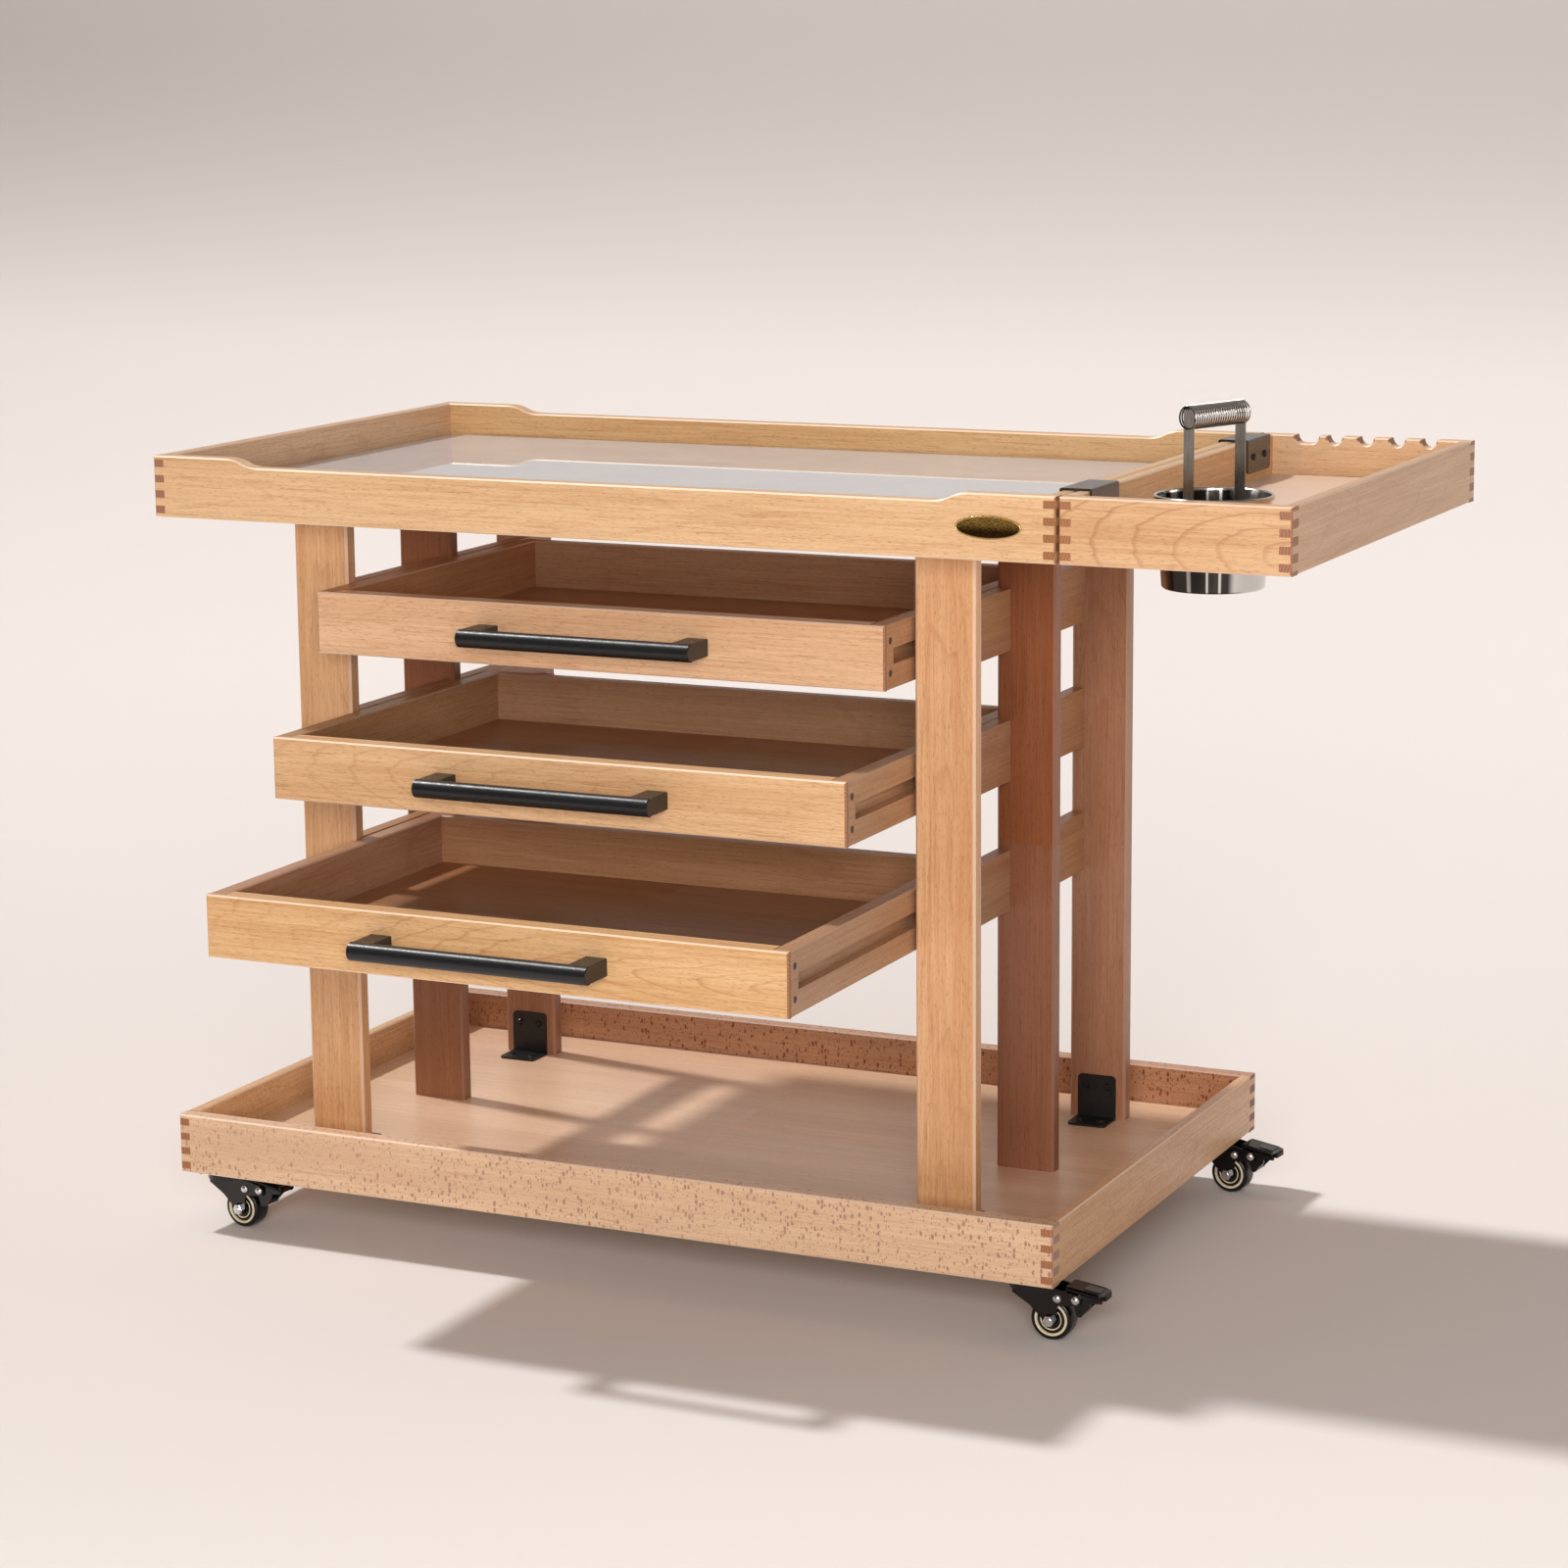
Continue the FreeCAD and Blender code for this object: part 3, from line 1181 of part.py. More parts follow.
def pedal_body(label):
    made = body(label)
    ear_out = "(%s - fork_gap)" % cheek_in
    ear = [("%s + %s" % (pivot_x, out), "%s - %s" % (up, pivot_z)) for out, up in ear_outline]
    ear.insert(0, (ear[0][0], "-(tread_clear + tread_sheet)"))
    ear.append((ear[-1][0], "-(tread_clear + tread_fall + tread_sheet / 2)"))
    for side, start in (("left", "-" + ear_out), ("right", "(%s - fork_sheet)" % ear_out)):
        pad(made, "XZ_Plane", start, "fork_sheet", [ear], side + "_ear")
    tread = [(pivot_x + " - tread_back", "-tread_clear"),
             (pivot_x + " + tread_front", "-(tread_clear + tread_fall)"),
             (pivot_x + " + tread_front", "-(tread_clear + tread_fall + tread_sheet)"),
             (pivot_x + " - tread_back", "-(tread_clear + tread_sheet)")]
    tread_half = "(%s + fork_sheet - edge_ease)" % ear_out
    pad(made, "XZ_Plane", "-" + tread_half, "2 * " + tread_half, [tread], "tread")
    pad(made, "XZ_Plane", "-" + ear_out, "2 * " + ear_out,
        [circle(pivot_x + " + shoe_out", "-%s - shoe_down" % pivot_z, "shoe_radius")], "shoe")
    pocket(made, "XZ_Plane", "-wheel_wide", "2 * wheel_wide", [circle(pivot_x, "-" + pivot_z, rivet_hole)],
           "pivot_hole")
    return made


plates = []
blocks = []
for name, x, y in corners:
    heading = name + "_heading"
    made = copy_of(plate, name + "_plate")
    place(made, x, y, "0")
    plates.append(made)
    blocks.append(corner_block(name + "_block", x, "right" in name, "rear" in name))
    for across in ("-", "+"):
        for along in ("-", "+"):
            add_screw(sideways, 180, "%s %s %s" % (x, across, plate_screw_side),
                      "%s %s %s" % (y, along, plate_screw_side), "-sheet_thick")
    pieces = [fork_body(name + "_fork_sheet"), axle_body(name + "_axle"), rivet(name + "_spacer_rivet"),
              rivet(name + "_pivot_rivet")]
    offset(pieces[1], "caster_trail", "0", "-" + axle_z)
    offset(pieces[2], spacer_x, "0", "-" + spacer_z)
    offset(pieces[3], pivot_x, "0", "-" + pivot_z)
    fork = group(name + "_fork", pieces)
    turn(fork, upward, value(heading))
    place(fork, x, y, "0")
    wheel = wheel_body(name + "_wheel")
    turn(wheel, upward, value(heading))
    place(wheel, "%s + caster_trail * cos(%s)" % (x, heading), "%s + caster_trail * sin(%s)" % (y, heading),
          "-" + axle_z)
    pedal = pedal_body(name + "_pedal")
    turn(pedal, upward, value(heading))
    place(pedal, x, y, "0")
    outputs += [fork, wheel, pedal]
for label in ("base_front_rail", "base_rear_rail"):
    rail = [item for item in outputs if item.Label == label][0]
    across = "plate_screw_seam" if "rear" in label else "long_rail_thick - plate_screw_seam"
    loops = []
    for from_end in (caster_x, "tray_length - " + caster_x):
        for sign in ("-", "+"):
            loops.append(circle("%s %s %s" % (from_end, sign, plate_screw_side), across, pilot))
    pocket(rail, "XY_Plane", "-past", panel_pilot + " + past", loops, "plate_screw_holes")
outputs.append(group("caster_plates", plates))
outputs.append(group("corner_blocks", blocks))
outputs.append(group("frame_screws", screw_copies))

doc.recompute()
for item in doc.Objects:
    if "Invalid" in item.State or "Error" in item.State:
        raise ValueError("%s is not solved: %s" % (item.Label, item.State))
for item in outputs:
    if item.Shape.isNull() or not item.Shape.isValid():
        raise ValueError("%s has a bad shape" % item.Label)
    item.Shape.exportStep("parts/%s.step" % item.Label)
print("%d parts" % len(outputs))
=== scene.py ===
import json
import math

import bmesh
import bpy
from mathutils import Matrix, Vector


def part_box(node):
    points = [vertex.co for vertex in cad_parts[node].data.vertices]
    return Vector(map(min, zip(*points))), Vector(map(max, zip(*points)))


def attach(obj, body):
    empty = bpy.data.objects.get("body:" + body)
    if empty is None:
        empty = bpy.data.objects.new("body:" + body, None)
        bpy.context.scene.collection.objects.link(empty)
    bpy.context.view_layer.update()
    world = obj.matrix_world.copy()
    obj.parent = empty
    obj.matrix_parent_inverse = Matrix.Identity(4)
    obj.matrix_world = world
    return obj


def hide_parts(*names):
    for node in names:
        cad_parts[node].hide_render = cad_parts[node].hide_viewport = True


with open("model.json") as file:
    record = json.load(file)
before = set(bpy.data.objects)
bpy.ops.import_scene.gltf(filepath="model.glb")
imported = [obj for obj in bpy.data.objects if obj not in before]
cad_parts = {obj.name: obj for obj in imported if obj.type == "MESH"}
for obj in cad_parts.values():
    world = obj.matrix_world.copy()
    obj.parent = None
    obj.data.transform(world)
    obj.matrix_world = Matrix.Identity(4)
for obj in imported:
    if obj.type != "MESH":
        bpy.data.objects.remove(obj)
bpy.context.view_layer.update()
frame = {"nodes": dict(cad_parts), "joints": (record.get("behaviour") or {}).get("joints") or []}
nodes = frame["nodes"]
joints = {joint["name"]: joint for joint in frame["joints"]}
print("stage: frame loaded,", len(nodes), "nodes")

cameraSet = {
    "place": (1.39875, -2.9336, 1.0390),
    "yaw": math.radians(-25.25),
    "pitch": math.radians(11.02),
    "roll": math.radians(-0.534),
    "lens": 90.77,
}


def makeCamera(settings):
    yaw, pitch, roll = settings["yaw"], settings["pitch"], settings["roll"]
    forward = Vector((math.sin(yaw) * math.cos(pitch), math.cos(yaw) * math.cos(pitch), -math.sin(pitch)))
    level = Vector((math.cos(yaw), -math.sin(yaw), 0))
    upright = level.cross(forward)
    right = level * math.cos(roll) + upright * math.sin(roll)
    up = upright * math.cos(roll) - level * math.sin(roll)
    data = bpy.data.cameras.new("camera")
    data.lens = settings["lens"]
    data.sensor_width = 36
    data.clip_end = 60
    made = bpy.data.objects.new("camera", data)
    turn = Matrix((right, up, -forward)).transposed().to_4x4()
    made.matrix_world = Matrix.Translation(settings["place"]) @ turn
    bpy.context.scene.collection.objects.link(made)
    bpy.context.scene.camera = made


makeCamera(cameraSet)
bpy.context.scene.view_settings.view_transform = "Standard"


# small helpers for node trees
def add(tree, kind, props=None, links=None):
    node = tree.nodes.new("ShaderNode" + kind)
    for key, value in (props or {}).items():
        setattr(node, key, value)
    for key, value in (links or {}).items():
        if isinstance(value, bpy.types.NodeSocket):
            tree.links.new(value, node.inputs[key])
        else:
            node.inputs[key].default_value = value
    return node


def calc(tree, operation, first, second=0.0, clamp=False):
    props = {"operation": operation, "use_clamp": clamp}
    return add(tree, "Math", props, {0: first, 1: second}).outputs[0]


def span(tree, value, low, high, outLow=0.0, outHigh=1.0):
    links = {0: value, 1: low, 2: high, 3: outLow, 4: outHigh}
    return add(tree, "MapRange", {"clamp": True, "interpolation_type": "SMOOTHSTEP"}, links).outputs[0]


def vec(tree, x, y, z):
    return add(tree, "CombineXYZ", None, {0: x, 1: y, 2: z}).outputs[0]


def vmath(tree, operation, first, second=(0, 0, 0)):
    return add(tree, "VectorMath", {"operation": operation}, {0: first, 1: second})


# the place on a node's surface, measured from the middle of its box
def localPlace(tree, node):
    return vmath(tree, "SUBTRACT", add(tree, "TexCoord").outputs["Object"], tuple(middle(node))).outputs[0]


def noise(tree, place, scale=1.0, detail=2.0, rough=0.5):
    links = {"Vector": place, "Scale": scale, "Detail": detail, "Roughness": rough}
    return add(tree, "TexNoise", None, links).outputs["Fac"]


def blendColor(tree, factor, first, second, mode="MIX"):
    node = add(tree, "Mix", {"data_type": "RGBA", "blend_type": mode})
    for index, value in ((0, factor), (6, first), (7, second)):
        if isinstance(value, bpy.types.NodeSocket):
            tree.links.new(value, node.inputs[index])
        else:
            node.inputs[index].default_value = value
    return node.outputs[2]


def rgb(red, green, blue):
    def line(value):
        value /= 255
        return value / 12.92 if value <= 0.04045 else ((value + 0.055) / 1.055) ** 2.4
    return (line(red), line(green), line(blue), 1)


def socketOn(group, name, kind, way, value=None):
    made = group.interface.new_socket(name=name, in_out=way, socket_type="NodeSocket" + kind)
    if value is not None:
        made.default_value = value


# Place runs (along the grain, across the board, through the board) in metres.
def makeBeechGroup():
    group = bpy.data.node_groups.new("BeechGrain", "ShaderNodeTree")
    for name, kind, value in (("Place", "Vector", None), ("Seed", "Vector", None), ("End", "Float", 0.0),
                              ("EdgeHighlight", "Float", 0.0), ("Fleck", "Float", 0.0), ("Arch", "Float", 0.5),
                              ("Slope", "Float", 0.05), ("Depth", "Float", 0.04), ("Rings", "Float", 220.0),
                              ("PaintedShade", "Float", 1.0)):
        socketOn(group, name, kind, "INPUT", value)
    for name, kind in (("Color", "Color"), ("Roughness", "Float"), ("Height", "Float")):
        socketOn(group, name, kind, "OUTPUT")
    put = group.nodes.new("NodeGroupInput").outputs
    out = group.nodes.new("NodeGroupOutput").inputs
    tree = group
    random = add(tree, "TexWhiteNoise", None, {"Vector": put["Seed"]}).outputs["Color"]
    shift = vmath(tree, "SCALE", random).outputs[0]
    shift.node.inputs["Scale"].default_value = 7.0
    place = vmath(tree, "ADD", put["Place"], shift).outputs[0]
    raw = add(tree, "SeparateXYZ", None, {0: put["Place"]}).outputs
    at = add(tree, "SeparateXYZ", None, {0: place}).outputs
    hue = add(tree, "SeparateXYZ", None, {0: random}).outputs
    along, across, deep = at[0], at[1], at[2]

    def stretched(first, second, detail, rough=0.5):
        spot = vec(tree, calc(tree, "MULTIPLY", along, first), calc(tree, "MULTIPLY", across, second),
                   calc(tree, "MULTIPLY", deep, second))
        return noise(tree, spot, 1.0, detail, rough)

    sway = calc(tree, "SUBTRACT", stretched(6, 26, 3, 0.55), 0.5)
    broad = stretched(1.8, 30, 2)
    patch = stretched(3.5, 9, 1)
    streak = stretched(9, 420, 3, 0.6)
    fine = stretched(30, 1100, 2, 0.6)
    line = stretched(22, 760, 2, 0.55)
    pore = stretched(170, 1700, 1)
    # growth rings are slices through cones around the tree's middle
    side = calc(tree, "ADD", raw[1], calc(tree, "MULTIPLY", sway, 0.02))
    down = calc(tree, "ADD", raw[2], put["Depth"])
    down = calc(tree, "ADD", down, calc(tree, "MULTIPLY", raw[0], put["Slope"]))
    down = calc(tree, "ADD", down, calc(tree, "MULTIPLY", sway, 0.012))
    radius = calc(tree, "SQRT", calc(tree, "ADD", calc(tree, "MULTIPLY", side, side),
                                     calc(tree, "MULTIPLY", down, down)))
    ring = calc(tree, "FRACT", calc(tree, "MULTIPLY", radius, put["Rings"]))
    late = calc(tree, "MULTIPLY", span(tree, ring, 0.8, 0.95), span(tree, ring, 1.0, 0.96))
    shown = calc(tree, "MULTIPLY", put["Arch"], span(tree, patch, 0.36, 0.56, 0.25, 1.0))
    late = calc(tree, "MULTIPLY", late, shown)
    endRing = calc(tree, "FRACT", calc(tree, "MULTIPLY", radius, 420))
    endLine = calc(tree, "MULTIPLY", span(tree, endRing, 0.3, 0.9), span(tree, endRing, 1.0, 0.9))
    # ray flecks stand across the grain on a quarter-sawn face
    def flecks(first, second, least, most):
        spot = vec(tree, calc(tree, "MULTIPLY", along, first), calc(tree, "MULTIPLY", across, second),
                   calc(tree, "MULTIPLY", deep, second))
        cell = add(tree, "TexVoronoi", {"feature": "F1"}, {"Vector": spot, "Scale": 1.0, "Randomness": 1.0})
        pick = add(tree, "SeparateXYZ", None, {0: cell.outputs["Color"]}).outputs
        reach = calc(tree, "MULTIPLY", span(tree, pick[0], least, 1.0), most)
        return span(tree, calc(tree, "SUBTRACT", reach, cell.outputs["Distance"]), 0.0, 0.1)

    crowd = span(tree, patch, 0.3, 0.55, 0.6, 1.0)
    fleck = calc(tree, "MAXIMUM", flecks(300, 165, 0.2, 0.46),
                 calc(tree, "MULTIPLY", flecks(560, 320, 0.3, 0.44), 0.85))
    fleck = calc(tree, "MULTIPLY", calc(tree, "MULTIPLY", fleck, crowd), put["Fleck"])

    tone = calc(tree, "ADD", calc(tree, "MULTIPLY", broad, 0.5), calc(tree, "MULTIPLY", streak, 0.5))
    tone = span(tree, tone, 0.34, 0.66)
    color = blendColor(tree, tone, rgb(*wood["light"]), rgb(*wood["dark"]))
    color = blendColor(tree, calc(tree, "MULTIPLY", late, 0.55), color, rgb(*wood["ring"]))
    color = blendColor(tree, calc(tree, "MULTIPLY", span(tree, line, 0.58, 0.68), 0.45), color, rgb(*wood["ring"]))
    dash = calc(tree, "MULTIPLY", span(tree, pore, 0.59, 0.69), 0.42)
    color = blendColor(tree, dash, color, rgb(*wood["pore"]))
    color = blendColor(tree, calc(tree, "MULTIPLY", fleck, 0.95), color, rgb(*wood["fleck"]))
    # painted highlight: eased edges, found by their slanted normals, are mixed towards a pale pink
    color = blendColor(tree, calc(tree, "MULTIPLY", put["EdgeHighlight"], 0.6), color, rgb(*wood["eased"]))
    endTone = blendColor(tree, endLine, rgb(*wood["end"]), rgb(*wood["endRing"]))
    color = blendColor(tree, calc(tree, "MULTIPLY", put["End"], 0.92), color, endTone)
    # boards differ a little in lightness and warmth
    value = span(tree, hue[0], 0, 1, 0.95, 1.04)
    # painted shade: where the shade input is below 1 the wood is multiplied towards a deep red-brown, as on boards
    # that lie in shadow
    painted_shade = calc(tree, "SUBTRACT", 1.0, put["PaintedShade"])
    color = blendColor(tree, painted_shade, color, rgb(*wood["deep"]), "MULTIPLY")
    shade = add(tree, "HueSaturation", None, {
        "Hue": span(tree, hue[1], 0, 1, 0.496, 0.504), "Saturation": span(tree, hue[2], 0, 1, 0.93, 1.06),
        "Value": value, "Color": color}).outputs[0]
    tree.links.new(shade, out["Color"])
    rough = calc(tree, "ADD", calc(tree, "MULTIPLY", streak, 0.12), 0.36)
    tree.links.new(calc(tree, "ADD", rough, calc(tree, "MULTIPLY", put["End"], 0.2)), out["Roughness"])
    relief = calc(tree, "ADD", calc(tree, "MULTIPLY", fine, 0.5), calc(tree, "MULTIPLY", dash, -1.2))
    relief = calc(tree, "ADD", relief, calc(tree, "MULTIPLY", fleck, -0.4))
    tree.links.new(relief, out["Height"])
    return group


# the deep red-brown is the colour of painted shade, the near-white edge colour a painted highlight and the pale pink
# a painted sheen
wood = {
    "light": (228, 186, 142), "dark": (208, 159, 112), "ring": (180, 122, 78), "pore": (146, 92, 58),
    "fleck": (154, 82, 52), "eased": (240, 212, 188), "end": (166, 108, 72), "endRing": (128, 78, 48),
    "deep": (142, 86, 46), "pale": (238, 214, 198),
}
beechGroup = makeBeechGroup()
axisIndex = {"X": 0, "Y": 1, "Z": 2}


def baseMaterial(name):
    made = bpy.data.materials.new(name)
    made.use_nodes = True
    tree = made.node_tree
    shader = tree.nodes["Principled BSDF"]
    return made, tree, shader


# grain, across and deep are object axes; cells give each board of a node its own seed; where |x - middle| > split
# the grain runs along y instead; a shade below 1 is painted shade, making the wood deeper and redder where it lies
# in shadow, and a sheen amount mixes in a pale painted sheen
def beech(name, grain="X", across="Z", deep="Y", centre=(0, 0, 0), seed=(1, 2, 3), fleck=0.0, arch=0.5,
          slope=0.05, depth=0.04, rings=220.0, shade=1.0, coat=0.3, pale=0.0, cells=None, split=None):
    made, tree, shader = baseMaterial(name)
    coords = add(tree, "TexCoord").outputs
    local = vmath(tree, "SUBTRACT", coords["Object"], centre).outputs[0]
    at = add(tree, "SeparateXYZ", None, {0: local}).outputs
    facing = vmath(tree, "ABSOLUTE", coords["Normal"]).outputs[0]
    normal = add(tree, "SeparateXYZ", None, {0: facing}).outputs
    place = vec(tree, at[axisIndex[grain]], at[axisIndex[across]], at[axisIndex[deep]])
    endness = normal[axisIndex[grain]]
    seedSocket = vec(tree, *seed)
    if cells:
        snapped = add(tree, "VectorMath", {"operation": "SNAP"}, {0: local, 1: cells}).outputs[0]
        seedSocket = vmath(tree, "ADD", seedSocket, snapped).outputs[0]
    if split:
        outside = calc(tree, "GREATER_THAN", calc(tree, "ABSOLUTE", at[0]), split)
        second = vec(tree, at[1], at[2], at[0])
        choice = add(tree, "Mix", {"data_type": "VECTOR"})
        for index, value in ((0, outside), (4, place), (5, second)):
            tree.links.new(value, choice.inputs[index])
        place = choice.outputs[1]
        endness = add(tree, "Mix", None, {0: outside, 2: normal[0], 3: normal[1]}).outputs[0]
        sign = calc(tree, "SIGN", at[0])
        seedSocket = vmath(tree, "ADD", seedSocket, vec(tree, calc(tree, "MULTIPLY", outside, sign),
                                                         outside, 0.0)).outputs[0]
    # slanted normals mark the eased edges that get the painted highlight
    most = calc(tree, "MAXIMUM", calc(tree, "MAXIMUM", normal[0], normal[1]), normal[2])
    grainNode = tree.nodes.new("ShaderNodeGroup")
    grainNode.node_tree = beechGroup
    for key, value in (("Place", place), ("Seed", seedSocket), ("End", span(tree, endness, 0.58, 0.68)),
                       ("EdgeHighlight", span(tree, most, 0.97, 0.85))):
        tree.links.new(value, grainNode.inputs[key])
    for key, value in (("Fleck", fleck), ("Arch", arch), ("Slope", slope), ("Depth", depth), ("Rings", rings),
                       ("PaintedShade", shade)):
        grainNode.inputs[key].default_value = value
    # painted sheen: the board's colour is mixed towards a pale pink by the sheen amount
    color = blendColor(tree, pale, grainNode.outputs["Color"], rgb(*wood["pale"]))
    tree.links.new(color, shader.inputs["Base Color"])
    tree.links.new(grainNode.outputs["Roughness"], shader.inputs["Roughness"])
    bump = add(tree, "Bump", None, {"Strength": 0.12, "Distance": 0.0004, "Height": grainNode.outputs["Height"]})
    tree.links.new(bump.outputs[0], shader.inputs["Normal"])
    shader.inputs["Specular IOR Level"].default_value = 0.42
    shader.inputs["Coat Weight"].default_value = coat
    shader.inputs["Coat Roughness"].default_value = 0.3
    return made


def setMetal(shader, rough):
    shader.inputs["Metallic"].default_value = 1.0
    shader.inputs["Roughness"].default_value = rough


def paint(node, material):
    mesh = nodes[node].data
    mesh.materials.clear()
    mesh.materials.append(material)


def middle(node):
    low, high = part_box(node)
    return (low + high) / 2


def paintBoard(node, grain, across, deep, seed, shift=(0, 0, 0), **look):
    paint(node, beech("beech_" + node, grain, across, deep, tuple(middle(node) + Vector(shift)),
                      (seed, seed * 0.37, 2.1), **look))


count = 0
for tray in ("base", "top", "side_tray"):
    for end in ("front_rail", "rear_rail"):
        count += 1
        look = {"arch": 0.35, "slope": 0.02, "depth": 0.09}
        # the base tray's rear rail gets painted shade and its front rail a painted sheen
        if tray == "base":
            look = {"fleck": 1.0, "arch": 0.1, "depth": 0.2, "shade": 1.0 if end == "front_rail" else 0.5,
                    "pale": 0.2 if end == "front_rail" else 0.0}
        if tray == "side_tray" and end == "front_rail":
            look = {"arch": 1.0, "slope": -0.35, "depth": 0.05, "rings": 85.0, "shift": (-0.02, 0, -0.012)}
        paintBoard("%s_%s" % (tray, end), "X", "Z", "Y", count, **look)
    for end in ("left_rail", "right_rail"):
        count += 1
        paintBoard("%s_%s" % (tray, end), "Y", "Z", "X", count, arch=0.4, slope=0.04, depth=0.06,
                   fleck=0.3 if tray == "base" else 0.0)
    count += 1
    # each panel gets a painted sheen
    paintBoard(tray + "_panel", "X", "Y", "Z", count, arch=0.3, slope=0.02, depth=0.12, coat=0.35,
               pale={"base": 0.3, "top": 0.2, "side_tray": 0.7}[tray], cells=(9, 0.075, 9))
# the rear posts get strong painted shade and the front posts a trace of it
for post in ("front_left_post", "front_right_post", "rear_left_post", "rear_right_post"):
    count += 1
    paintBoard(post, "Z", "X", "Y", count, arch=0.5, slope=0.03, depth=0.06,
               shade=0.95 if "front" in post else 0.3)
# the middle posts, guide boards and runners get painted shade
paintBoard("middle_posts", "Z", "X", "Y", 31, arch=0.5, slope=0.06, depth=0.05, shade=0.15, coat=0.1,
           cells=(0.5, 9, 9))
paintBoard("drawer_guide_boards", "Y", "Z", "X", 33, arch=0.4, shade=0.5, coat=0.15, cells=(0.3, 9, 0.1))
paintBoard("drawer_runners", "Y", "Z", "X", 35, arch=0.3, shade=0.4, cells=(0.3, 9, 0.1))
paintBoard("corner_blocks", "X", "Y", "Z", 36, arch=0.3, cells=(0.4, 0.25, 9))
for index, drawer in enumerate(("top", "middle", "bottom")):
    count += 3
    arch = (0.3, 0.55, 0.9)[index]
    paintBoard(drawer + "_drawer_front", "X", "Z", "Y", count, arch=arch, slope=-0.12, depth=0.045, rings=190.0)
    # the drawer boxes and bottoms get painted shade
    paintBoard(drawer + "_drawer_box", "X", "Z", "Y", count + 1, arch=0.4, depth=0.08, shade=0.5, coat=0.15,
               split=0.2445)
    paintBoard(drawer + "_drawer_bottom", "X", "Y", "Z", count + 2, arch=0.4, depth=0.1, shade=0.35, coat=0.1,
               cells=(9, 0.11, 9))
print("stage: beech done")


def surface(name, color, rough, metallic=0.0, grain=None, bump=0.0, coat=0.0, specular=0.5):
    made, tree, shader = baseMaterial(name)
    shader.inputs["Base Color"].default_value = color
    shader.inputs["Metallic"].default_value = metallic
    shader.inputs["Coat Weight"].default_value = coat
    shader.inputs["Coat Roughness"].default_value = 0.12
    shader.inputs["Specular IOR Level"].default_value = specular
    place = add(tree, "TexCoord").outputs["Object"]
    if grain:
        place = vmath(tree, "MULTIPLY", place, grain).outputs[0]
    mottle = noise(tree, place, 1.0 if grain else 420.0, 3.0, 0.6)
    tree.links.new(span(tree, mottle, 0.25, 0.75, rough * 0.75, rough * 1.25), shader.inputs["Roughness"])
    darker = tuple(channel * 0.82 for channel in color[:3]) + (1,)
    tree.links.new(blendColor(tree, span(tree, mottle, 0.3, 0.7), color, darker), shader.inputs["Base Color"])
    if bump:
        relief = add(tree, "Bump", None, {"Strength": bump, "Distance": 0.0002, "Height": mottle})
        tree.links.new(relief.outputs[0], shader.inputs["Normal"])
    return made


corners = ("front_left", "front_right", "rear_left", "rear_right")


# an opaque pale grey sheet whose pale colour is a painted reflection of the backdrop, with faint dust that dulls its
# gloss
def tableGlass():
    made, tree, shader = baseMaterial("table_glass")
    place = add(tree, "TexCoord").outputs["Object"]
    dust = noise(tree, place, 9.0, 4.0, 0.6)
    tint = blendColor(tree, span(tree, dust, 0.3, 0.7), rgb(212, 214, 218), rgb(206, 208, 213))
    tree.links.new(tint, shader.inputs["Base Color"])
    tree.links.new(span(tree, dust, 0.3, 0.8, 0.012, 0.035), shader.inputs["Roughness"])
    shader.inputs["IOR"].default_value = 1.75
    return made


# the plate is light above its middle and darker below
def brassPlate():
    made, tree, shader = baseMaterial("dark_brass")
    local = localPlace(tree, "badge_plate")
    at = add(tree, "SeparateXYZ", None, {0: local}).outputs
    mottle = noise(tree, vmath(tree, "MULTIPLY", local, (400, 400, 2600)).outputs[0], 1.0, 3.0, 0.6)
    level = calc(tree, "ADD", at[2], calc(tree, "MULTIPLY", calc(tree, "SUBTRACT", mottle, 0.5), 0.0016))
    tint = blendColor(tree, span(tree, level, -0.004, 0.0045), rgb(96, 66, 34), rgb(240, 190, 104))
    tree.links.new(tint, shader.inputs["Base Color"])
    tree.links.new(span(tree, mottle, 0.3, 0.7, 0.2, 0.34), shader.inputs["Roughness"])
    shader.inputs["Metallic"].default_value = 1.0
    return made


# painted reflections: the wall carries fixed dark and light bands in its colour where reflections fall on the
# polished steel
bucketLook = {
    "bandAxis": (0.9455, 0.3256, 0), "darkFrom": (-0.94, -0.82), "darkTo": (0.42, 0.26),
    "lines": ((-0.46, 0.05), (-0.12, 0.03), (0.12, 0.035)), "lineDark": 0.35,
    "wallRadius": 0.0385, "rim": (0.003, 0.0015), "light": (214, 212, 208), "dark": (58, 54, 50), "rough": 0.16,
}


